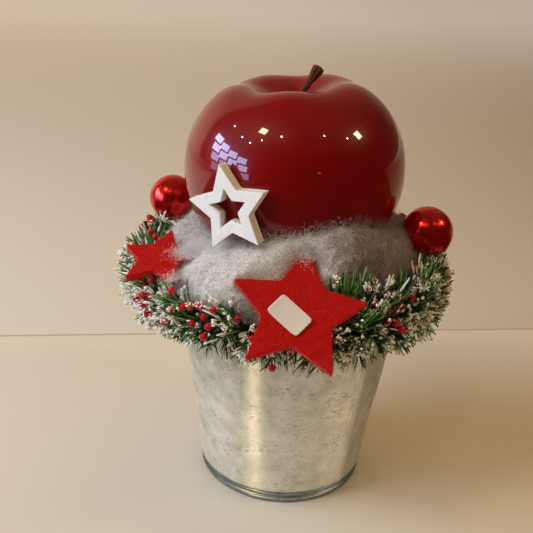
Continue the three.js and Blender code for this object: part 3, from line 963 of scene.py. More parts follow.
@dataclass
class Star:
    """A five-pointed slab: the middle of its face, the way it faces, its spin and its sizes."""

    name: str
    make: StarMake
    centre: tuple[float, float, float]
    azimuth: float
    elevation: float
    spin: float
    radius: float
    notch: float
    thickness: float
    window: float = 0.0
    edge: float = 0.5
    columns_per_edge: int = 16
    hair_radius: float = 0.06
    pale_share: float = 0.35

    def frame(self) -> tuple[np.ndarray, np.ndarray]:
        """The star's own axes: right, up and out of the face as rows, and its centre.

        Returns:
            The three axes, and the centre.
        """
        azimuth, elevation, spin = map(math.radians, (self.azimuth, self.elevation, self.spin))
        out = toward(azimuth, elevation)
        right = unit(np.cross([0.0, 0.0, 1.0], out))
        turned = math.cos(spin) * right + math.sin(spin) * np.cross(out, right)
        return np.stack([turned, np.cross(out, turned), out]), np.array(self.centre)

    def to_world(self, local: np.ndarray) -> np.ndarray:
        """Points of the star's own plane in the decoration's frame."""
        axes, centre = self.frame()
        return local @ axes + centre

    def to_local(self, points: np.ndarray) -> np.ndarray:
        """Points of the decoration's frame in the star's own plane."""
        axes, centre = self.frame()
        return (points - centre) @ axes.T

    def edge_distance(self) -> float:
        """How far each straight edge lies from the centre."""
        across = self.notch * math.sin(math.radians(36))
        return self.radius * across / math.hypot(across, 1 - self.notch * math.cos(math.radians(36)))

    def inside(self, local: np.ndarray) -> np.ndarray:
        """How deep points lie inside the outline, in millimetres, below 0 outside.

        The star is folded onto a fifth of itself, where one straight edge bounds it.

        Args:
            local: Points in the star's own plane.

        Returns:
            The depth of each point.
        """
        fifth = math.radians(72)
        turn = np.arctan2(local[..., 0], local[..., 1])
        folded = np.abs(turn - fifth * np.round(turn / fifth))
        lean = math.atan2(self.notch * math.sin(fifth / 2), 1 - self.notch * math.cos(fifth / 2))
        return self.edge_distance() - np.hypot(local[..., 0], local[..., 1]) * np.sin(folded + lean)

    def outline(self, rounding: int) -> np.ndarray:
        """The outline at radius 1, with its corners softened by averaging neighbours.

        Args:
            rounding: How many times each point is averaged with its neighbours.

        Returns:
            The points, counter-clockwise.
        """
        corner = np.arange(10)
        reach = np.where(corner % 2, self.notch, 1.0)
        angle = np.radians(90 + 36 * corner)
        tips = np.stack([reach * np.cos(angle), reach * np.sin(angle)], axis=-1)
        share = np.linspace(0, 1, self.columns_per_edge, endpoint=False)[None, :, None]
        line = (tips[:, None] * (1 - share) + np.roll(tips, -1, axis=0)[:, None] * share).reshape(-1, 2)
        for _ in range(rounding):
            line = (np.roll(line, 1, axis=0) + 2 * line + np.roll(line, -1, axis=0)) / 4
        return line

    def section(self) -> tuple[np.ndarray, np.ndarray, np.ndarray]:
        """The slab's section from the middle of the back, round the edge, to the middle of the face.

        A share of the outline is also an even inset of it, because all edges lie equally far
        from the centre.

        Returns:
            The share of the outline, the height, and whether the row lies on the cut edge.
        """
        inset = self.edge / self.edge_distance()
        turn = np.linspace(0, math.pi / 2, 6)
        inner = self.window / self.radius if self.window else 0.01
        flat = np.linspace(inner + inset * bool(self.window), 1 - inset, 22)[:-1]
        round_off = 1 - inset + inset * np.sin(turn)
        drop = self.edge * (1 - np.cos(turn))
        side = np.linspace(0, 1, 6)[1:-1]
        height = -self.edge - side * (self.thickness - 2 * self.edge)
        share = [flat, round_off, np.ones_like(side), round_off[::-1], flat[::-1]]
        rise = [0 * flat, -drop, height, drop[::-1] - self.thickness, 0 * flat - self.thickness]
        raw = [0 * flat, 0 * drop, 0 * side + 1, 0 * drop, 0 * flat]
        if self.window:
            share += [np.full_like(side, inner)]
            rise += [height[::-1]]
            raw += [0 * side + 1]
        return tuple(np.concatenate(values)[::-1] for values in (share, rise, raw))

    def build(self, node: str) -> None:
        """Makes the slab as a grid of insets by outline points, and dresses it.

        Args:
            node: The CAD node that it stands for.
        """
        felt = self.make is StarMake.FELT
        share, rise, raw = self.section()
        line = self.outline(1)
        flat = share[:, None, None] * line[None] * self.radius
        local = np.concatenate([flat, np.broadcast_to(rise[:, None, None], (*flat.shape[:2], 1))], axis=-1)
        if felt:
            local[..., 2] += 0.12 * ripple(local, 9, 21) + 0.05 * ripple(local, 2.2, 22)
            local[..., :2] += 0.1 * ripple(local, 3, 23)[..., None] * line
        rows, columns = local.shape[:2]
        ring = bool(self.window)
        slots = np.repeat(raw[: rows if ring else -1].astype(int), columns)
        slots = slots if ring else np.append(slots, [0, 0])
        parts = MeshParts(self.name, (FELT, FELT_EDGE_PAINTED_LIGHT) if felt else (WHITE_PAINT, RAW_WOOD))
        parts.add(self.to_world(local), grid_faces(rows, columns, ring), slots)
        parts.build("red_felt" if felt else "white_wood", (node,))

    def build_hair(self, count: int, seed: int) -> None:
        """Loose hairs on the face and, longer, along the cut edge.

        Args:
            count: How many hairs.
            seed: Which random set.
        """
        rng = np.random.default_rng(seed)
        line = self.outline(3) * self.radius
        on_edge = rng.random(count) < 0.45
        share = np.where(on_edge, 1.0, np.sqrt(rng.random(count)))
        root = line[rng.integers(0, len(line), count)] * share[:, None]
        depth = np.where(on_edge, -rng.random(count) * self.thickness, 0.0)
        outward = np.arctan2(root[:, 1], root[:, 0])
        heading = rng.uniform(0, TURN, count)
        heading = np.where(on_edge, outward + rng.normal(0, 0.9, count), heading)
        length = rng.uniform(1.0, 2.6, (count, 1))
        step = np.linspace(0, 1, 4)[None, :]
        bearing = heading[:, None] + rng.normal(0, 1.1, (count, 1)) * step
        x = root[:, :1] + length * step * np.cos(bearing)
        y = root[:, 1:] + length * step * np.sin(bearing)
        arch = np.sin(math.pi * np.clip(step * 0.9 + 0.05, 0, 1))
        z = depth[:, None] + 0.55 * arch * rng.random((count, 1))
        paths = self.to_world(np.stack([x, y, z], axis=-1))
        radii = self.hair_radius * (1 - 0.6 * step) * np.ones((count, 1))
        tone = (rng.random(count) < self.pale_share).astype(int)
        MeshParts(f"{self.name}_hair", FELT_HAIR).add_grids(tubes(paths, radii, 3), tone).build("red_felt")


FELT_SIZES = {"thickness": 4, "edge": 0.6}
FRONT_STAR = Star(
    "front_felt_star", StarMake.FELT, (5.1, -92, 150.9), 7.2, 47.7, -11, 37.2, 0.505, **FELT_SIZES
)
LEFT_STAR = Star(
    "left_felt_star", StarMake.FELT, (-72.4, -50, 159.7), -17.9, 69.8, 8.6, 23.5, 0.5, **FELT_SIZES
)
BACK_STAR = Star("back_felt_star", StarMake.FELT, (82, 24, 158), 106, 55, 13, 20, 0.5, **FELT_SIZES)
CUT_OUT_STAR = Star(
    "cut_out_star", StarMake.WOOD, (-34.4, -63, 192.6), -25.3, -0.5, 14.3, 24.5, 0.5,
    thickness=6.5, window=11.3, edge=0.25,
)  # fmt: skip
FELT_STARS = (FRONT_STAR, LEFT_STAR, BACK_STAR)


@dataclass
class Label:
    """A blank paper slip on the front star's face, a little curled at its corners."""

    x: float = -3.9
    y: float = -3.2
    length: float = 20.5
    width: float = 13.0
    thickness: float = 0.3
    spin: float = math.radians(-34)
    curl: float = 0.5
    lift: float = 0.35

    def build(self) -> None:
        """A superellipse outline of power 9, filled by insets, front and back."""
        angle = np.linspace(0, TURN, 96, endpoint=False)
        circle = np.stack([np.cos(angle), np.sin(angle)], axis=-1)
        rounded = np.sign(circle) * np.abs(circle) ** (2 / 9)
        share = np.concatenate([np.linspace(0.02, 1, 14), np.linspace(1, 0.02, 14)])
        height = np.repeat([0, self.thickness], 14)
        flat = share[:, None, None] * rounded[None] * np.array([self.length, self.width]) / 2
        curl = self.curl * (np.abs(flat[..., 0]) / (self.length / 2)) ** 4
        cosine, sine = math.cos(self.spin), math.sin(self.spin)
        placed = flat @ np.array([[cosine, sine], [-sine, cosine]]) + np.array([self.x, self.y])
        local = np.concatenate([placed, (height[:, None] + curl + self.lift)[..., None]], axis=-1)
        parts = MeshParts("blank_slip", (SLIP_PAPER,)).add_grids(FRONT_STAR.to_world(local)[None])
        parts.build("blank_paper", ("label",))


# ---- Baubles --------------------------------------------------------------------------------------


@dataclass
class Bauble:
    """A metallised ball with a stamped cap, on a twisted wire pick."""

    name: str
    centre: tuple[float, float, float]
    foot: tuple[float, float, float]
    radius: float = 15
    cap_radius: float = 3.4
    cap_length: float = 4
    wire_radius: float = 0.28
    wire_swing: float = 0.32
    # How far past the ball each ring of the cap lies, and its share of the cap's radius.
    cap_rings: tuple[tuple[float, float], ...] = (
        (-1.2, 1.0), (0.2, 1.08), (0.5, 1.08), (0.9, 0.92), (3.6, 0.86), (4, 0.7), (4, 0.2)
    )  # fmt: skip

    def axis(self) -> np.ndarray:
        """The direction from the ball's centre to the pick's foot."""
        return unit(np.array(self.foot) - np.array(self.centre))

    def turned(
        self, distance: np.ndarray, radius: np.ndarray, columns: int, crimp: float = 0.0
    ) -> np.ndarray:
        """A surface turned about the axis.

        Args:
            distance: How far along the axis each row lies.
            radius: Each row's radius.
            columns: Corners in a row.
            crimp: How deep the surface is fluted, as a share of its radius.

        Returns:
            The grid of points.
        """
        along = self.axis()
        side = unit(np.cross(along, [0.0, 0.0, 1.0]))
        other = np.cross(along, side)
        angle = np.linspace(0, TURN, columns, endpoint=False)
        ring = np.cos(angle)[:, None] * side + np.sin(angle)[:, None] * other
        width = radius[:, None] * (1 + crimp * np.cos(12 * angle))
        return np.array(self.centre) + distance[:, None, None] * along + width[..., None] * ring

    def build(self) -> bpy.types.Object:
        """Makes the ball, and the cap with its pick, as two pieces, and returns the ball."""
        angle = np.linspace(math.pi - 0.01, 0.01, 90)
        grid = self.turned(self.radius * np.cos(angle), self.radius * np.sin(angle), 140)
        ball = MeshParts(f"{self.name}_ball", (BALL_RED,)).add_grids(grid[None])
        made = ball.build("bauble_red", (self.name,))
        past, share = np.array(self.cap_rings).T
        cap = self.turned(self.radius + past, self.cap_radius * share, 48, crimp=0.035)
        metal = MeshParts(f"{self.name}_pick", (TIN,)).add_grids(cap[None])
        reach = np.linalg.norm(np.array(self.foot) - np.array(self.centre))
        step = np.linspace(self.radius + self.cap_length - 0.5, reach, 90)
        core = self.turned(step, np.zeros_like(step), 1)[:, 0]
        side = np.cross(self.axis(), [0.0, 0.0, 1.0])
        other = np.cross(self.axis(), side)
        for phase in (0.0, math.pi):
            swing = self.wire_swing * np.exp(1j * (step * 1.4 + phase))
            path = core + swing.real[:, None] * side + swing.imag[:, None] * other
            metal.add_grids(tubes(path[None], np.full((1, len(step)), self.wire_radius), 8))
        metal.build("silver_cap")
        return made


BAUBLES = (
    Bauble("bauble_right", (77.7, -15.2, 170.2), (50, -9.8, 118)),
    Bauble("bauble_left", (-79.2, 41, 164.1), (-46, 24, 118)),
)


# ---- Wadding --------------------------------------------------------------------------------------


@dataclass
class Wadding:
    """Teased fibrefill round the apple's foot: a soft ring, with loose strands all over it."""

    apple: AppleBody
    radius: float = 63
    half_width: float = 20
    bottom: float = 131.6
    fullness: float = 0.7
    crest: float = 167.5
    swell: float = 15.5
    swell_azimuth: float = math.radians(-65)
    swell_spread: float = math.radians(42)
    core_top: float = 135.6
    neck_radius: float = 56.6
    neck_top: float = 156.5
    trim: float = 5.5
    flare: float = 11.5
    flare_azimuth: float = math.radians(-117)
    flare_spread: float = math.radians(27)
    sag: float = 9.5
    sag_azimuth: float = math.radians(175)
    sag_spread: float = math.radians(48)
    star_slope: float = 0.9
    star_blend: float = 2.5
    star_gap: float = 0.4
    lap_depth: float = 11
    spread_rise: float = 13
    fibre_radius: float = 0.042
    # Star, tip, how deep it is veiled and the share of strands over it.
    veiled: tuple[tuple[Star, int, float, float], ...] = (
        (FRONT_STAR, 0, 0.12, 0.26), (LEFT_STAR, 4, 0.3, 0.62), (LEFT_STAR, 3, 0.15, 0.06)
    )  # fmt: skip

    def half_height(self, azimuth: np.ndarray) -> np.ndarray:
        """Half the ring's height: level at the back, swelling in front and sagging on the left."""
        swell = self.swell * bell(azimuth, self.swell_azimuth, self.swell_spread)
        sag = self.sag * bell(azimuth, self.sag_azimuth, self.sag_spread)
        return (self.crest + swell - sag - self.bottom) / 2

    def flared(self, azimuth: np.ndarray) -> np.ndarray:
        """How much the ring spreads over the garland, from 0 to 1."""
        return bell(azimuth, self.flare_azimuth, self.flare_spread)

    def surface(self, azimuth: np.ndarray, angle: np.ndarray, fluff: float = 1.0) -> np.ndarray:
        """The ring's surface, by azimuth and angle round its section.

        The section is an ellipse, fuller below, that swells in lumps. Tufts of three sizes
        roughen it. Then it is kept off the apple, the foam's neck and the garland's core, and
        pressed down behind the felt stars.

        Args:
            azimuth: Azimuth round the bucket's axis.
            angle: Angle round the section, 0 outward and a quarter turn upward.
            fluff: How strong the tufts are.

        Returns:
            The points.
        """
        half = self.half_height(azimuth)
        lump = 1 + 0.03 * np.sin(7 * azimuth + 2 * angle) + 0.02 * np.sin(12 * azimuth - 3 * angle)
        cosine, sine = np.cos(angle), np.sin(angle)
        power = np.where(sine < 0, self.fullness, 1.0)
        out = np.sign(cosine) * np.abs(cosine) ** power * lump
        reach = self.half_width + (self.flare * self.flared(azimuth) - self.trim) * (out > 0)
        points = polar(self.radius + reach * out, azimuth, self.bottom + half * (1 + sine * lump))
        tufts = ((0.45, 18, 31), (0.3, 6.5, 32), (0.22, 2.6, 33))
        tuft = sum(depth * ripple(points, size, seed) for depth, size, seed in tufts)
        normal = polar(cosine, azimuth, sine)
        points = points + (fluff * tuft)[..., None] * normal
        return self.kept_clear(points)

    def kept_clear(self, points: np.ndarray) -> np.ndarray:
        """Keeps points off what the wadding lies against, and laps its inner side over the foam.

        Args:
            points: The points.

        Returns:
            The points, moved where they have to be.
        """
        reach = np.hypot(points[..., 0], points[..., 1])
        inward = reach < self.neck_radius
        height = points[..., 2]
        lapped = inward & (height > self.neck_top - self.lap_depth)
        height = np.where(lapped, np.maximum(height, self.neck_top + 0.4), height)
        narrow = inward & (height < self.neck_top)
        scale = np.where(narrow, self.neck_radius / np.maximum(reach, 1e-6), 1)
        points = np.concatenate([points[..., :2] * scale[..., None], height[..., None]], axis=-1)
        floor = self.bottom - 0.2 + (self.core_top - self.bottom + 0.2) * smoothstep(reach, 69, 73)
        spread = self.flared(np.arctan2(points[..., 1], points[..., 0]))
        floor = floor + self.spread_rise * spread * smoothstep(reach, 78, 90)
        points[..., 2] = np.maximum(points[..., 2], floor)
        for star in FELT_STARS:
            local = star.to_local(points)
            distance = np.hypot(local[..., 0], local[..., 1]) / star.radius
            beside = np.maximum(-0.5 - star.inside(local), 0)
            allowed = self.star_slope * beside - star.thickness - self.star_gap
            high, soft = local[..., 2], self.star_blend
            lowered = -soft * np.logaddexp(-high / soft, -allowed / soft)
            local[..., 2] += (lowered - high) * (1 - smoothstep(distance, 0.8, 1.08))
            points = star.to_world(local)
        return self.apple.pushed_out(points, 0.35)

    def strands(self, count: int, seed: int, steps: int = 4) -> np.ndarray:
        """Paths of loose strands that wander over the surface and lift off it.

        A strand starts anywhere on the upper outside, keeps a heading that turns as it goes,
        and lifts off by a half wave, higher for the wilder ones.

        Args:
            count: How many strands.
            seed: Which random set.
            steps: Points in a strand.

        Returns:
            The paths, by strand, step and coordinate.
        """
        rng = np.random.default_rng(seed)
        azimuth = rng.uniform(-math.pi, math.pi, (count, 1))
        angle = rng.uniform(math.radians(-75), math.radians(140), (count, 1))
        length = rng.gamma(4, 2.1, (count, 1))
        heading = rng.uniform(0, TURN, (count, 1))
        turning = heading + np.cumsum(rng.normal(0, 0.38, (count, steps)), axis=1)
        stride = length / (steps - 1)
        around = azimuth + np.cumsum(stride * np.cos(turning), axis=1) / self.radius
        over = angle + np.cumsum(stride * np.sin(turning), axis=1) / self.half_width
        base = self.surface(around, over)
        further = self.surface(around, over, fluff=2.2)
        share = np.linspace(0, 1, steps)[None]
        lift = rng.exponential(1.1, (count, 1))
        lift = lift * np.sin(math.pi * share * rng.uniform(0.5, 1.1, (count, 1)))
        outward = polar(np.cos(over), around, np.sin(over))
        wild = rng.normal(0, 0.35, (count, steps, 3))
        points = 0.6 * base + 0.4 * further + np.maximum(lift, -0.3)[..., None] * outward + wild
        return self.beside_faces(self.apple.pushed_out(points, 0.3))

    def mist(self, count: int, seed: int, steps: int = 4) -> np.ndarray:
        """Paths of short curly fibres in a thin cloud round the ring's upper half.

        Most of them are in front, half are at the apple's foot, and fewer and fewer stand
        further off the ring.

        Args:
            count: How many fibres.
            seed: Which random set.
            steps: Points in a fibre.

        Returns:
            The paths, by fibre, step and coordinate.
        """
        rng = np.random.default_rng(seed)
        at_foot = rng.random((count, 1)) < 0.5
        azimuth = np.where(
            rng.random((count, 1)) < 0.3,
            rng.uniform(-math.pi, math.pi, (count, 1)),
            np.radians(rng.normal(np.where(at_foot, -80, -98), 42)),
        )
        high, anywhere = rng.normal(102, 22, (count, 1)), rng.uniform(-10, 160, (count, 1))
        angle = np.radians(np.where(at_foot, high, anywhere))
        outward = polar(np.cos(angle), azimuth, np.sin(angle))
        off = np.minimum(rng.exponential(np.where(at_foot, 2.1, 1.4))[..., None], 7)
        wander = np.cumsum(rng.normal(0, 0.55, (count, steps, 3)), axis=1)
        points = self.surface(azimuth, angle) + off * outward + wander
        return self.beside_faces(self.apple.pushed_out(points, 0.25))

    @staticmethod
    def beside_faces(paths: np.ndarray) -> np.ndarray:
        """The paths that don't cross a felt star's face, except close to its tips.

        Args:
            paths: Paths by strand, step and coordinate.

        Returns:
            The paths that are left.
        """
        crosses = np.zeros(len(paths), dtype=bool)
        for star in FELT_STARS:
            local = star.to_local(paths)
            inner = np.hypot(local[..., 0], local[..., 1]) < 0.74 * star.radius
            crosses |= ((star.inside(local) > -0.3) & (local[..., 2] > -star.thickness) & inner).any(axis=1)
        return paths[~crosses]

    @staticmethod
    def veil(star: Star, tip: int, deep: float, count: int, seed: int, steps: int = 4) -> np.ndarray:
        """Paths of fine short strands that drift over one tip of a felt star and soften it.

        Args:
            star: The star.
            tip: Which tip, counted counter-clockwise from the top one.
            deep: How far in from the tip they reach, as a share of the star's radius.
            count: How many strands.
            seed: Which random set.
            steps: Points in a strand.

        Returns:
            The paths, by strand, step and coordinate.
        """
        rng = np.random.default_rng(seed)
        bearing = math.radians(90 + 72 * tip)
        out = star.radius * (1.04 - np.abs(rng.normal(0, deep, (count, 1))))
        across = rng.normal(0, 3.4, (count, 1))
        heading = rng.uniform(0, TURN, (count, 1))
        turning = heading + np.cumsum(rng.normal(0, 0.5, (count, steps)), axis=1)
        stride = rng.gamma(4, 0.12, (count, 1))
        cosine, sine = math.cos(bearing), math.sin(bearing)
        x = out * cosine - across * sine + np.cumsum(stride * np.cos(turning), axis=1)
        y = out * sine + across * cosine + np.cumsum(stride * np.sin(turning), axis=1)
        lift = 0.15 + rng.exponential(0.5, (count, 1)) + np.abs(rng.normal(0, 0.2, (count, steps)))
        return star.to_world(np.stack([x, y, lift], axis=-1))

    @staticmethod
    def tones(paths: np.ndarray, rng: np.random.Generator) -> np.ndarray:
        """The finish of each strand: white and pale on the left, grey and brown towards +X as painted
        shade.
        """
        painted_shade = 0.5 + 0.5 * np.tanh((paths[:, 0, 0] - 20) / 26)
        return np.clip((1.3 * rng.random(len(paths)) + 2.4 * painted_shade).astype(int), 0, 3)

    def build(self, strand_count: int) -> None:
        """Makes the matted body and, in pieces, the loose strands.

        Args:
            strand_count: How many strands in each of the pieces.
        """
        azimuth = np.linspace(0, TURN, 420, endpoint=False)[None]
        angle = np.linspace(0, TURN, 120, endpoint=False)[:, None]
        points = self.surface(azimuth, angle)
        body = MeshParts("wadding_body", (FILL,)).add(points, grid_faces(*points.shape[:2], ring=True))
        body.build("wadding", ("wadding",))
        for number in range(4):
            rng = np.random.default_rng(60 + number)
            paths = self.strands(strand_count, 40 + number)
            taper = np.sin(np.linspace(0.25, math.pi - 0.25, paths.shape[1]))[None]
            radii = rng.uniform(0.03, 0.062, (len(paths), 1)) * taper
            strands = MeshParts(f"wadding_strands_{number + 1}", STRANDS)
            strands.add_grids(tubes(paths, radii, 3), self.tones(paths, rng)).build("wadding")
        rng = np.random.default_rng(50)
        groups = {f"mist_{number + 1}": self.mist(strand_count, 51 + number) for number in range(2)}
        veils = [
            self.veil(star, tip, deep, int(share * strand_count), 52 + tip)
            for star, tip, deep, share in self.veiled
        ]
        groups["veils"] = np.concatenate(veils)
        for name, paths in groups.items():
            corners = tubes(paths, np.full(paths.shape[:2], self.fibre_radius), 3)
            fibres = MeshParts(f"wadding_{name}", STRANDS)
            fibres.add_grids(corners, self.tones(paths, rng)).build("wadding")


# ---- Garland --------------------------------------------------------------------------------------


@dataclass
class Garland:
    """The pine garland: a ring of twisted wire, short twigs with needles all round, flock, berries.

    All needles end on an oval round the ring, wider on the left than on the right.
    """

    bucket: Bucket
    radius: float = 78.6
    height: float = 131.6
    half_width: float = 7
    centre_radius: float = 80
    centre_height: float = 133
    side: float = 20.5
    lean: float = -5
    up: float = 30
    down: float = 24
    lowest: float = math.radians(-80)
    highest: float = math.radians(88)
    covered: float = math.radians(38)
    covered_azimuth: float = math.radians(-122)
    covered_spread: float = math.radians(18)
    twigs_around: int = 46
    twigs_across: int = 6
    needles_per_twig: int = 17
    twig_length: float = 14
    needle_length: float = 23
    crown_twigs: int = 44
    crown_azimuths: tuple[float, float] = (-82, -12)
    crown_fans: tuple[float, float] = (55, 94)
    crown_rise: float = 0.26
    crown_spread: float = math.radians(34)
    tight_share: float = 0.3
    spared_share: float = 0.17
    spared_azimuth: float = math.radians(-122)
    spared_spread: float = math.radians(38)
    bend: float = 0.6
    droop: float = 0.7
    shortest: float = 4
    clumps: int = 640
    crumbs_in_clump: int = 12
    cluster_step: float = 11.5
    low_bead: tuple[float, float, float] = (-6.5, -97.0, 120.2)
    low_root: tuple[float, float, float] = (-7.0, -80.0, 131.0)
    seed: int = 101
    # Where the berries in front hang: azimuth and fan angle in degrees.
    front_berries: tuple[tuple[int, int], ...] = (
        (-170, 78), (-166, 84), (-149, 30), (-143, 30), (-141, 38), (-140, 46), (-130, 39), (-146, 6),
        (-143, 15), (-140, 19), (-142, 5), (-140, -4), (-131, -3), (-124, 26), (-121, 29), (-118, 33),
        (-116, 22), (-113, 32), (-114, 12), (-120, 9), (-128, 17), (-115, 0), (-105, 28),
        (-100, 8), (-88, -6), (-54, 51), (-44, 38), (-59, 68), (-49, 33), (-38, 28), (-55, 36),
        (-52, 31), (-56, 20), (-53, 15), (-60, 43), (-33, 80), (-30, 61), (-33, 44), (-56, -32), (-51, 6),
    )  # fmt: skip

    def oval(self, azimuth: np.ndarray) -> np.ndarray:
        """How far the oval reaches outward at an azimuth: it swings with the azimuth's cosine."""
        return self.side + self.lean * np.cos(azimuth)

    def steepest(self, azimuth: np.ndarray) -> np.ndarray:
        """The steepest upward fan: lower by a bell curve where the wadding lies over the ring."""
        return self.highest - self.covered * bell(azimuth, self.covered_azimuth, self.covered_spread)

    def tips(self, azimuth: np.ndarray, fan: np.ndarray, length: np.ndarray) -> np.ndarray:
        """Points of the oval.

        Args:
            azimuth: Their azimuth.
            fan: Their fan angle, 0 outward and a quarter turn upward.
            length: Their share of the oval's reach.

        Returns:
            The points.
        """
        rise = np.where(fan > 0, self.up, self.down) * length
        outward = self.centre_radius + self.oval(azimuth) * length * np.cos(fan)
        return polar(outward, azimuth, self.centre_height + rise * np.sin(fan))

    def level(self, points: np.ndarray) -> np.ndarray:
        """How far out points lie, where 1 is on the oval.

        Args:
            points: The points.

        Returns:
            One value for each point.
        """
        azimuth = np.arctan2(points[..., 1], points[..., 0])
        outward = (np.hypot(points[..., 0], points[..., 1]) - self.centre_radius) / self.oval(azimuth)
        above = points[..., 2] - self.centre_height
        return np.hypot(outward, above / np.where(above > 0, self.up, self.down))

    def is_free(self, points: np.ndarray, margin: float) -> np.ndarray:
        """Whether paths are clear of the bucket, the baubles and the stars.

        Args:
            points: Points by path, step and coordinate.
            margin: How clear they must be.

        Returns:
            One truth value for each path.
        """
        reach = np.hypot(points[..., 0], points[..., 1])
        wall = self.bucket.wall_radius(points[..., 2]) + margin + 0.6
        bad = (points[..., 2] < self.bucket.rim_height + 2) & (reach < wall)
        for bauble in BAUBLES:
            bad |= np.linalg.norm(points - np.array(bauble.centre), axis=-1) < bauble.radius + margin
        for star in FELT_STARS:
            local = star.to_local(points)
            bad |= (star.inside(local) > -margin) & (local[..., 2] > -star.thickness - margin)
        local = CUT_OUT_STAR.to_local(points)
        bad |= (CUT_OUT_STAR.inside(local) > -margin) & (np.abs(local[..., 2]) < 8)
        return ~bad.any(axis=1)

    def twigs(self, rng: np.random.Generator) -> tuple[np.ndarray, np.ndarray, np.ndarray]:
        """The twigs: each leaves the ring at its own azimuth and fan, and leans to one side.

        More of them stand up in front on the right, where the garland hides the wadding's foot.

        Args:
            rng: The random numbers.

        Returns:
            Where they start, where they end, and their azimuths and fans.
        """
        count = self.twigs_around * self.twigs_across
        row, place = np.divmod(np.arange(count), self.twigs_across)
        shifted = row + 0.5 * (place % 2) + rng.uniform(-0.3, 0.3, count)
        azimuth = shifted * TURN / self.twigs_around
        span = self.steepest(azimuth) - self.lowest
        fan = self.lowest + (place + rng.uniform(0.15, 0.85, count)) / self.twigs_across * span
        azimuth = np.concatenate([azimuth, rng.uniform(*np.radians(self.crown_azimuths), self.crown_twigs)])
        fan = np.concatenate([fan, rng.uniform(*np.radians(self.crown_fans), self.crown_twigs)])
        count += self.crown_twigs
        outward = np.where(fan < 0, np.cos(fan), 1)
        start = polar(self.radius + self.half_width * (1.2 * outward - 0.6), azimuth, self.height)
        ahead = polar(np.cos(fan), azimuth, np.sin(fan))
        aside = polar(np.ones(count), azimuth + math.pi / 2, 0.0) * rng.normal(0, 0.38, (count, 1))
        reach = self.twig_length * rng.uniform(0.75, 1.1, count) * (1 + 0.25 * (fan > 0.8))
        end = start + unit(ahead + aside) * reach[:, None]
        return start, end, np.stack([azimuth, fan], axis=-1)

    def needles(
        self, start: np.ndarray, end: np.ndarray, tight: np.ndarray, rng: np.random.Generator
    ) -> tuple[np.ndarray, np.ndarray]:
        """Needles all round the twigs, wide apart at the foot and closing in towards the end.

        A needle leaves its twig at 48 degrees near the foot and 14 near the end, and at less than
        half of that in a tight bundle. It may point in any direction round the twig, bends a
        little, and is shortened where it would pass the oval. The oval reaches higher where the
        extra twigs stand up.

        Args:
            start: Where the twigs start.
            end: Where they end.
            tight: Whether each twig is a tight bundle.
            rng: The random numbers.

        Returns:
            The needles' paths, of four points each, and the number of each one's twig.
        """
        twig = np.repeat(np.arange(len(start)), self.needles_per_twig)
        count = len(twig)
        share = rng.uniform(0.0, 0.95, (count, 1))
        axis = (end - start)[twig]
        base = start[twig] + share * axis
        axis = unit(axis)
        side = unit(np.cross(axis, rng.normal(size=(count, 3))))
        opening = np.radians(48 - 34 * share + rng.normal(0, 5, (count, 1)))
        opening = opening * (1 - 0.6 * tight[twig])[:, None]
        along = np.cos(opening) * axis + np.sin(opening) * side
        tip = base + along * self.needle_length * rng.uniform(0.8, 1.1, (count, 1))
        off = (np.arctan2(base[:, 1], base[:, 0]) - self.spared_azimuth) / self.spared_spread
        spared = self.spared_share * np.exp(-(off**2)) * (base[:, 2] < self.centre_height)
        limit = rng.uniform(0.8, 1.07, count) - spared
        middle = math.radians(sum(self.crown_azimuths) / 2)
        for _ in range(3):
            off = (np.arctan2(tip[:, 1], tip[:, 0]) - middle) / self.crown_spread
            higher = self.crown_rise * np.exp(-(off**4)) * smoothstep(tip[:, 2], 146, 158)
            tip = base + (tip - base) * np.minimum((limit + higher) / self.level(tip), 1)[:, None]
        arch = np.sin(math.pi * np.linspace(0, 1, 4)[None, :, None])
        bend = (self.bend * rng.normal(size=(count, 1, 3)) + self.droop * axis[:, None]) * arch
        paths = straight(base, tip) + bend
        long_enough = np.linalg.norm(tip - base, axis=-1) > self.shortest
        sampled = np.concatenate([paths, (paths[:, 1:] + paths[:, :-1]) / 2], axis=1)
        free = self.is_free(sampled[:, 1:], 0.7) & long_enough
        return paths[free], twig[free]

    def build(self) -> None:
        """Makes the ring, the twigs, the needles, their flock and the berries, each kind apart."""
        rng = np.random.default_rng(self.seed)
        start, end, place = self.twigs(rng)
        self.build_ring(start, end)
        tight = rng.random(len(start)) < self.tight_share
        paths, twig = self.needles(start, end, tight, rng)
        azimuth, fan = np.degrees(place[:, 0]) % 360, place[:, 1]
        left = np.exp(-(((azimuth - 217) / 16) ** 2 + ((np.degrees(fan) + 5) / 32) ** 2))
        right = np.exp(-(((azimuth - 325) / 22) ** 2))
        snowy = rng.beta(0.45, 1.15, len(start)) * (1 - tight) + 0.8 * left + 0.06 * right
        snowy = (np.clip(snowy, 0, 1) * (1 - 0.6 * smoothstep(-fan, 0.5, 1.2)))[twig]
        mood = rng.normal(0, 0.7, len(start))[twig] + 0.8 * snowy
        mood = mood + rng.normal(0.85, 1.0, len(twig)) + 0.5 * tight[twig]
        tone = np.clip(mood.round().astype(int), 0, len(NEEDLES) - 1)
        width = rng.uniform(0.5, 0.74, (len(paths), 1)) * np.array([[0.8, 1.0, 0.95, 0.45]])
        turn = rng.uniform(0, math.pi, len(paths))
        for number, half in enumerate(np.array_split(np.arange(len(paths)), 2)):
            blades = tubes(paths[half], width[half], 4, flat=0.4, turn=turn[half])
            nodes = tuple(f"garland_{section:02d}" for section in range(7 * number + 1, 7 * number + 8))
            needles = MeshParts(f"pine_needles_{number + 1}", NEEDLES)
            needles.add_grids(blades, tone[half]).build("pine", nodes)
        self.build_sleeves(paths, snowy, rng)
        self.build_crumbs(paths, snowy, rng)
        self.build_berries(rng)

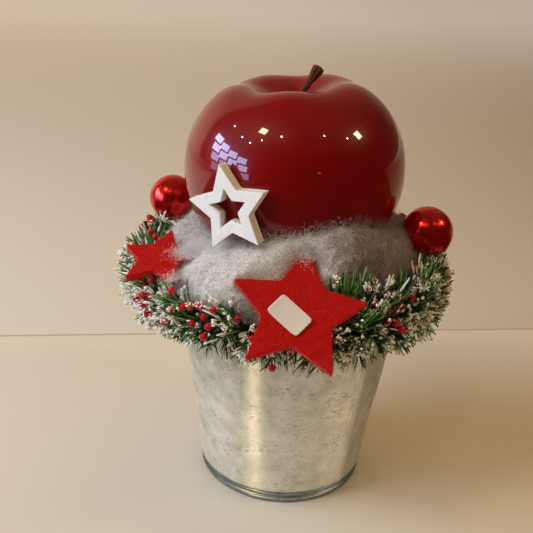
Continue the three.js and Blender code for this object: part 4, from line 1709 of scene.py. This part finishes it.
    def build_ring(self, start: np.ndarray, end: np.ndarray) -> None:
        """Two taped wires twisted round each other, and the twigs that leave them.

        Args:
            start: Where the twigs start.
            end: Where they end.
        """
        azimuth = np.linspace(0, TURN, 480, endpoint=False)
        ring = MeshParts("garland_wire", (TAPED_WIRE,))
        angle = np.linspace(0, TURN, 10, endpoint=False)[:, None]
        for phase in (0.0, math.pi):
            twist = 30 * azimuth + phase
            radius = self.radius + 1.4 * np.cos(twist) + 1.5 * np.cos(angle)
            points = polar(radius, azimuth, self.height + 1.4 * np.sin(twist) + 1.5 * np.sin(angle))
            ring.add(points, grid_faces(*points.shape[:2], ring=True))
        ring.add_grids(tubes(straight(start, end), np.full((len(start), 4), 0.5), 6)).build("pine")

    def build_sleeves(self, paths: np.ndarray, snowy: np.ndarray, rng: np.random.Generator) -> None:
        """White crust round the ends of needles: long and on most in a snowy twig, short elsewhere.

        Args:
            paths: The needles' paths.
            snowy: How snowy each needle's twig is, from 0 to 1.
            rng: The random numbers.
        """
        coated = np.flatnonzero(rng.random(len(paths)) < 0.07 + 0.68 * snowy)
        begin = 0.88 - 0.5 * snowy[coated] * rng.uniform(0.3, 1, len(coated))
        share = begin[:, None] + (1.03 - begin[:, None]) * np.linspace(0, 1, 6)[None]
        sleeve = self.along(paths[coated], share) + rng.normal(0, 0.14, (len(coated), 6, 3))
        radii = rng.uniform(0.42, 0.8, (len(coated), 1)) * rng.uniform(0.5, 1.3, (len(coated), 6))
        radii *= np.array([[0.4, 1, 1, 1, 0.9, 0.4]])
        tone = self.flock_tone(sleeve[:, 3], rng)
        MeshParts("flock_sleeves", FLOCK).add_grids(tubes(sleeve, radii, 5), tone).build("snow")

    def build_crumbs(self, paths: np.ndarray, snowy: np.ndarray, rng: np.random.Generator) -> None:
        """Clumps of flock crumbs caught on and between the needles, most on snowy twigs.

        Args:
            paths: The needles' paths.
            snowy: How snowy each needle's twig is, from 0 to 1.
            rng: The random numbers.
        """
        clumps, members = self.clumps, self.crumbs_in_clump
        count = clumps * members
        weight = 0.1 + snowy**2
        chosen = rng.choice(len(paths), clumps, p=weight / weight.sum())
        share = 0.45 + 0.55 * rng.random((clumps, 1)) ** 0.7
        heart = np.repeat(self.along(paths[chosen], share), members, axis=0)
        scatter = rng.normal(0, 1, (count, 1, 3))
        middle = heart + scatter * np.repeat(rng.uniform(0.4, 1.1, clumps), members)[:, None, None]
        size = rng.uniform(0.3, 0.78, (count, 1))
        axis = unit(rng.normal(size=(count, 3)))
        crumb = middle + axis[:, None] * size[..., None] * np.array([-1, 0, 1])[None, :, None]
        corners = tubes(crumb, size * np.array([[0.4, 1.0, 0.35]]), 4)
        tone = self.flock_tone(middle[:, 0], rng)
        MeshParts("flock_crumbs", FLOCK).add_grids(corners, tone).build("snow")

    @staticmethod
    def flock_tone(points: np.ndarray, rng: np.random.Generator) -> np.ndarray:
        """White flock or cream, by lot: white more often on the left, cream, a painted shade, more often on
        the right.
        """
        return (rng.random(len(points)) < 0.45 + 0.35 * np.tanh(points[:, 0] / 40)).astype(int)

    @staticmethod
    def along(paths: np.ndarray, share: np.ndarray) -> np.ndarray:
        """Points at shares of the way along paths, carried on straight past their ends.

        Args:
            paths: Paths by needle, step and coordinate.
            share: Shares by needle and point.

        Returns:
            The points, by needle, point and coordinate.
        """
        last = paths.shape[1] - 1
        position = share * last
        before = np.clip(position.astype(int), 0, last - 1)
        rest = (position - before)[..., None]
        needle = np.arange(len(paths))[:, None]
        return paths[needle, before] * (1 - rest) + paths[needle, before + 1] * rest

    def build_berries(self, rng: np.random.Generator) -> None:
        """Beads on short wires: the ones in front, one that hangs low, and clusters all round.

        Args:
            rng: The random numbers.
        """
        front = np.radians(np.array(self.front_berries, dtype=float))
        clusters = np.radians(np.arange(-14, 182, self.cluster_step))
        clusters = clusters + rng.normal(0, 0.04, len(clusters))
        member = np.repeat(np.arange(len(clusters)), rng.integers(3, 7, len(clusters)))
        azimuth = np.concatenate([front[:, 0], clusters[member] + rng.normal(0, 0.05, len(member))])
        centre_fan = rng.uniform(math.radians(-35), math.radians(60), len(clusters))
        fan = np.concatenate([front[:, 1], centre_fan[member] + rng.normal(0, 0.16, len(member))])
        bead = self.tips(azimuth, fan, rng.uniform(0.82, 0.95, len(azimuth)))
        bead = np.append(bead, [self.low_bead], axis=0)
        root = polar(np.full_like(azimuth, self.radius), azimuth, self.height)
        root = np.append(root, [self.low_root], axis=0)
        free = self.is_free(bead[:, None], 1.6)
        bead, root = bead[free], root[free]
        size = rng.uniform(1.85, 2.2, len(bead))
        angle = np.linspace(0.3, math.pi - 0.3, 8)[:, None]
        turn = np.linspace(0, TURN, 10, endpoint=False)[None]
        ball = polar(np.sin(angle), turn, -np.cos(angle))
        points = bead[:, None, None] + size[:, None, None, None] * ball
        tone = rng.choice(3, len(bead), p=(0.66, 0.12, 0.22))
        MeshParts("berry_beads", BERRIES).add_grids(points, tone).build("berry")
        self.build_dust(bead, size, tone, rng)
        wires = tubes(straight(root, bead), np.full((len(bead), 4), 0.28), 5)
        MeshParts("berry_wires", (TAPED_WIRE,)).add_grids(wires).build("pine")

    @staticmethod
    def build_dust(bead: np.ndarray, size: np.ndarray, tone: np.ndarray, rng: np.random.Generator) -> None:
        """Flock crumbs that sit on the upper halves of the dusted berries.

        Args:
            bead: The berries' middles.
            size: Their radii.
            tone: Their finishes; the last one is the dusted one.
            rng: The random numbers.
        """
        dusted = np.repeat(np.flatnonzero(tone == 2), 16)
        out = rng.normal(size=(len(dusted), 3))
        out[:, 2] = np.abs(out[:, 2])
        out = unit(out)
        middle = bead[dusted] + out * size[dusted, None]
        reach = rng.uniform(0.3, 0.6, (len(dusted), 1, 1)) * np.array([-1, -0.4, 0.5, 1])[None, :, None]
        crumb = middle[:, None] + reach * np.cross(out, rng.normal(size=out.shape))[:, None]
        radii = rng.uniform(0.25, 0.5, (len(dusted), 1)) * np.array([[0.3, 1, 0.9, 0.3]])
        MeshParts("berry_flock", FLOCK).add_grids(tubes(crumb, radii, 4)).build("snow")


# ---- Studio ---------------------------------------------------------------------------------------


@dataclass
class Studio:
    """The floor, the lights and the camera. Directions count azimuth from -Y towards +X."""

    camera_place: tuple[float, float, float] = (0, -467.13, 329.10)
    pitch: float = math.radians(22.409)
    roll: float = math.radians(2.691)
    yaw: float = math.radians(-1.824)
    focal_pixels: float = 820
    image_pixels: float = 533
    sensor: float = 36
    floor_half: float = 7.0
    table_edge: float = 179.1
    table_turn: float = math.radians(9.35)
    table_shadow_width: float = 1.3
    near: float = 0.17
    far_glow: float = 0.37
    aim_height: float = 0.2
    # Azimuth, elevation and radiance of the small bulbs.
    bulbs: tuple[tuple[float, float, float], ...] = (
        (-94, 39, 90), (-72, 36, 90), (-57, 34, 120), (-45, 40, 120), (-21, 49, 380),
        (43, 51, 110), (69, 41, 110),
    )  # fmt: skip
    # Elevation and radiance of each row of window panes, from the top.
    pane_rows: tuple[tuple[float, float], ...] = ((22.5, 20), (15, 17), (7.5, 8), (0, 3))

    def build(self, zinc: bpy.types.Object, glazed: list[bpy.types.Object]) -> None:
        """Sets up the camera, the floor, the room's light and the lamps.

        Args:
            zinc: The bucket, which mirrors the low lamps.
            glazed: The pieces that mirror the window's panes.
        """
        self.build_camera()
        self.build_floor()
        self.build_room()
        self.build_window(glazed)
        self.build_lamps()
        self.build_low_lamps(zinc)

    def build_camera(self) -> None:
        """A camera that looks down at the decoration, a little rolled."""
        look = -toward(-self.yaw, self.pitch)
        level = np.array([math.cos(self.yaw), -math.sin(self.yaw), 0])
        upright = np.cross(level, look)
        right = math.cos(self.roll) * level + math.sin(self.roll) * upright
        above = math.cos(self.roll) * upright - math.sin(self.roll) * level
        data = bpy.data.cameras.new("camera")
        data.sensor_width = self.sensor
        data.lens = self.sensor * self.focal_pixels / self.image_pixels
        data.clip_start, data.clip_end = 0.01, 50
        camera = bpy.data.objects.new("camera", data)
        turn = Matrix(np.stack([right, above, -look], axis=-1).tolist()).to_4x4()
        camera.matrix_world = Matrix.Translation(Vector(np.array(self.camera_place) * MM + AXIS)) @ turn
        bpy.context.scene.collection.objects.link(camera)
        bpy.context.scene.camera = camera

    def build_floor(self) -> None:
        """A large pale floor, with a painted shadow line where the table ends, painted shade towards +X
        past it, and a glow that keeps it pale far off.

        A gloss ray that has come further than the table reaches finds a dim room instead.
        """
        half = self.floor_half
        corners = [(-half, -half, 0), (half, -half, 0), (half, half, 0), (-half, half, 0)]
        mesh = bpy.data.meshes.new("floor")
        mesh.from_pydata(corners, [], [(0, 1, 2, 3)])
        floor = bpy.data.objects.new("floor", mesh)
        material = bpy.data.materials.new("pale laminate")
        tree = empty_tree(material)
        place = add_node(tree, "ShaderNodeTexCoord").outputs["Object"]
        across = np.array([-math.sin(self.table_turn), math.cos(self.table_turn), 0])
        edge = self.table_edge * MM + float(across @ AXIS)
        back = {0: place, 1: tuple(across)}
        depth = add_node(tree, "ShaderNodeVectorMath", back, operation="DOT_PRODUCT").outputs["Value"]
        axes = add_node(tree, "ShaderNodeSeparateXYZ", {"Vector": place}).outputs
        path = add_node(tree, "ShaderNodeLightPath").outputs
        aside, far, glow = (
            add_node(
                tree,
                "ShaderNodeMapRange",
                {"Value": value, "From Min": low, "From Max": high, "To Max": most},
                interpolation_type=kind,
            ).outputs[0]
            for value, low, high, most, kind in (
                (axes["X"], -0.1, 0.6, 1, "LINEAR"),
                (path["Ray Length"], self.near, 1.5 * self.near, 1, "LINEAR"),
                (depth, 0.2, 3.2, self.far_glow, "SMOOTHSTEP"),
            )
        )
        past = add_node(tree, "ShaderNodeMath", {0: depth, 1: edge}, operation="GREATER_THAN").outputs[0]
        # A thin painted shadow line where the table ends.
        line = {0: depth, 1: edge, 2: self.table_shadow_width * MM}
        shadow_line = add_node(tree, "ShaderNodeMath", line, operation="COMPARE").outputs[0]
        # Past the table's edge, painted shade grows towards +X.
        dimmer = add_node(tree, "ShaderNodeMath", {0: aside, 1: past}, operation="MULTIPLY").outputs[0]
        glossy = {0: path["Is Glossy Ray"], 1: past}
        mirrored = add_node(tree, "ShaderNodeMath", glossy, operation="SUBTRACT").outputs[0]
        away = {0: far, 1: mirrored}
        unseen = add_node(tree, "ShaderNodeMath", away, operation="MULTIPLY", use_clamp=True).outputs[0]
        layers = map(Layer, (past, dimmer, shadow_line, unseen), ("d1ccc0", "b5a68c", "b5a78d", "30261f"))
        values = {
            "Base Color": layered(tree, "d5cdbe", layers),
            "Roughness": 0.36,
            "Specular IOR Level": 0.3,
            "Emission Color": linear("e2dcd3"),
            "Emission Strength": glow,
        }
        shader = add_node(tree, "ShaderNodeBsdfPrincipled", values)
        add_node(tree, "ShaderNodeOutputMaterial", {"Surface": shader.outputs[0]})
        mesh.materials.append(material)
        bpy.context.scene.collection.objects.link(floor)

    def build_room(self) -> None:
        """Room light: a pale wall behind the decoration, paler on the left, and a dim viewer's side.

        Overhead it is darker. Diffuse rays and the camera find an even tone each.
        """
        world = bpy.data.worlds.new("room")
        bpy.context.scene.world = world
        tree = empty_tree(world)
        direction = add_node(tree, "ShaderNodeTexCoord").outputs["Generated"]
        axes = add_node(tree, "ShaderNodeSeparateXYZ", {"Vector": direction}).outputs
        right, viewer, overhead = (
            add_node(
                tree,
                "ShaderNodeMapRange",
                {"Value": axes[axis], "From Min": low, "From Max": high, "To Min": least, "To Max": most},
            ).outputs[0]
            for axis, low, high, least, most in (
                ("X", -0.7, 0.7, 0, 1),
                ("Y", 0.38, 0.46, 1, 0),
                ("Z", 0.42, 0.85, 0, 0.78),
            )
        )
        path = add_node(tree, "ShaderNodeLightPath").outputs
        shares = (right, viewer, overhead, path["Is Diffuse Ray"], path["Is Camera Ray"])
        colours = ("3e2f24", "2c251f", "6f5f50", "74604a", "c9bca6")
        shown = layered(tree, "eac4a8", map(Layer, shares, colours))
        background = add_node(tree, "ShaderNodeBackground", {"Color": shown, "Strength": 1.0})
        add_node(tree, "ShaderNodeOutputWorld", {"Surface": background.outputs[0]})

    def add_light(
        self, name: str, azimuth: float, elevation: float, distance: float, size: tuple[float, float],
        radiance: float, colour: str, mirrored: bool = True, only: bpy.types.Collection | None = None,
    ) -> None:  # fmt: skip
        """Adds a rectangular light that faces the apple.

        Its power is radiance times its area times pi.

        Args:
            name: Its name.
            azimuth: Degrees from -Y towards +X.
            elevation: Degrees above the horizon, seen from the apple.
            distance: Metres from the apple.
            size: Width and height in metres.
            radiance: How bright its face is, where 1 would be drawn as white.
            colour: sRGB hex.
            mirrored: Whether glossy surfaces mirror it.
            only: The pieces that mirror it, if it has no other effect.
        """
        data = bpy.data.lights.new(name, "AREA")
        data.shape = "RECTANGLE"
        data.size, data.size_y = size
        data.energy = radiance * size[0] * size[1] * math.pi
        data.color = linear(colour)[:3]
        away = Vector(toward(math.radians(azimuth), math.radians(elevation)))
        lamp = bpy.data.objects.new(name, data)
        lamp.rotation_mode = "QUATERNION"
        lamp.rotation_quaternion = away.to_track_quat("Z", "Y")
        lamp.location = Vector(AXIS) + Vector((0, 0, self.aim_height)) + away * distance
        lamp.visible_glossy = mirrored
        if only:
            lamp.light_linking.receiver_collection = only
            lamp.visible_diffuse = False
        bpy.context.scene.collection.objects.link(lamp)

    @staticmethod
    def group(name: str, members: list[bpy.types.Object]) -> bpy.types.Collection:
        """A collection of pieces that a light is for.

        Args:
            name: Its name.
            members: The pieces.

        Returns:
            The collection.
        """
        pieces = bpy.data.collections.new(name)
        for member in members:
            pieces.objects.link(member)
        return pieces

    def build_window(self, glazed: list[bpy.types.Object]) -> None:
        """Soft daylight from the left, and the panes that the apple and the baubles mirror.

        Args:
            glazed: The pieces that mirror the panes.
        """
        pieces = self.group("glazed", glazed)
        self.add_light("daylight", -76, 31, 1.5, (1.1, 1.1), 6.8, "d9e6f8", mirrored=False)
        for row, (elevation, radiance) in enumerate(self.pane_rows):
            for column in range(4):
                name, azimuth = f"pane_{column}_{row}", -95 + 13 * column + 3 * row
                lift, glare = elevation - 2.5 * column, radiance * 0.85**column
                self.add_light(name, azimuth, lift, 2.4, (0.45, 0.25), glare, "bccdff", only=pieces)

    def build_lamps(self) -> None:
        """Two warm lamps above, a row of small bulbs between them, and a warm soft fill."""
        self.add_light("lamp_left", -52, 49, 1.7, (0.24, 0.16), 34, "ffe6b4")
        self.add_light("lamp_right", 84, 38, 1.7, (0.16, 0.22), 34, "ffe6b4")
        for number, (azimuth, elevation, radiance) in enumerate(self.bulbs):
            self.add_light(f"bulb_{number}", azimuth, elevation, 1.8, (0.036, 0.036), radiance, "ffe9cf")
        self.add_light("far_window", 25, 11, 2.4, (0.12, 0.08), 2.2, "c4ccff")
        sun = bpy.data.lights.new("warm_ceiling", "SUN")
        sun.energy = 0.75
        sun.angle = math.radians(60)
        sun.color = linear("ffd290")[:3]
        ceiling = bpy.data.objects.new("warm_ceiling", sun)
        ceiling.rotation_euler = (math.radians(-24), math.radians(12), 0)
        ceiling.visible_glossy = False
        bpy.context.scene.collection.objects.link(ceiling)

    def build_low_lamps(self, zinc: bpy.types.Object) -> None:
        """A narrow lamp that draws a warm streak down the bucket, and broad dim ones beside it.

        Args:
            zinc: The bucket.
        """
        pieces = self.group("zinc", [zinc])
        self.add_light("streak_lamp", -27.5, -1, 1.7, (0.36, 0.12), 78, "ffe9bd", only=pieces)
        for side, azimuth, width, radiance, colour in (
            ("left", -72, 0.9, 1.3, "eef0ec"),
            ("front", 14, 1.2, 3.3, "fff0d8"),
            ("right", 64, 1.0, 6.3, "ffe6c2"),
        ):
            name, size = f"low_glow_{side}", (width, 0.2)
            self.add_light(name, azimuth, -3, 1.3, size, radiance, colour, only=pieces)


# ---- The whole decoration -------------------------------------------------------------------------


def main() -> None:
    """Builds the studio and the pieces in order."""
    logging.basicConfig(level=logging.INFO, format="%(name)s: %(message)s")
    bpy.context.scene.view_settings.view_transform = "Standard"
    bucket = Bucket()
    zinc = bucket.build()
    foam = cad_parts["foam"]
    foam.data.materials.clear()
    foam.data.materials.append(material_of(DRY_FOAM))
    apple = AppleBody()
    glazed = [apple.build()]
    Stem().build()
    Wadding(apple).build(6800)
    Garland(bucket).build()
    glazed += [bauble.build() for bauble in BAUBLES]
    for star, node, hairs in zip(FELT_STARS, ("front", "left", "back"), (2300, 1100, 700)):
        star.build(f"felt_star_{node}")
        star.build_hair(hairs, 70 + hairs)
    CUT_OUT_STAR.build("wooden_star")
    Label().build()
    Studio().build(zinc, glazed)


if __name__ == "__main__":
    main()
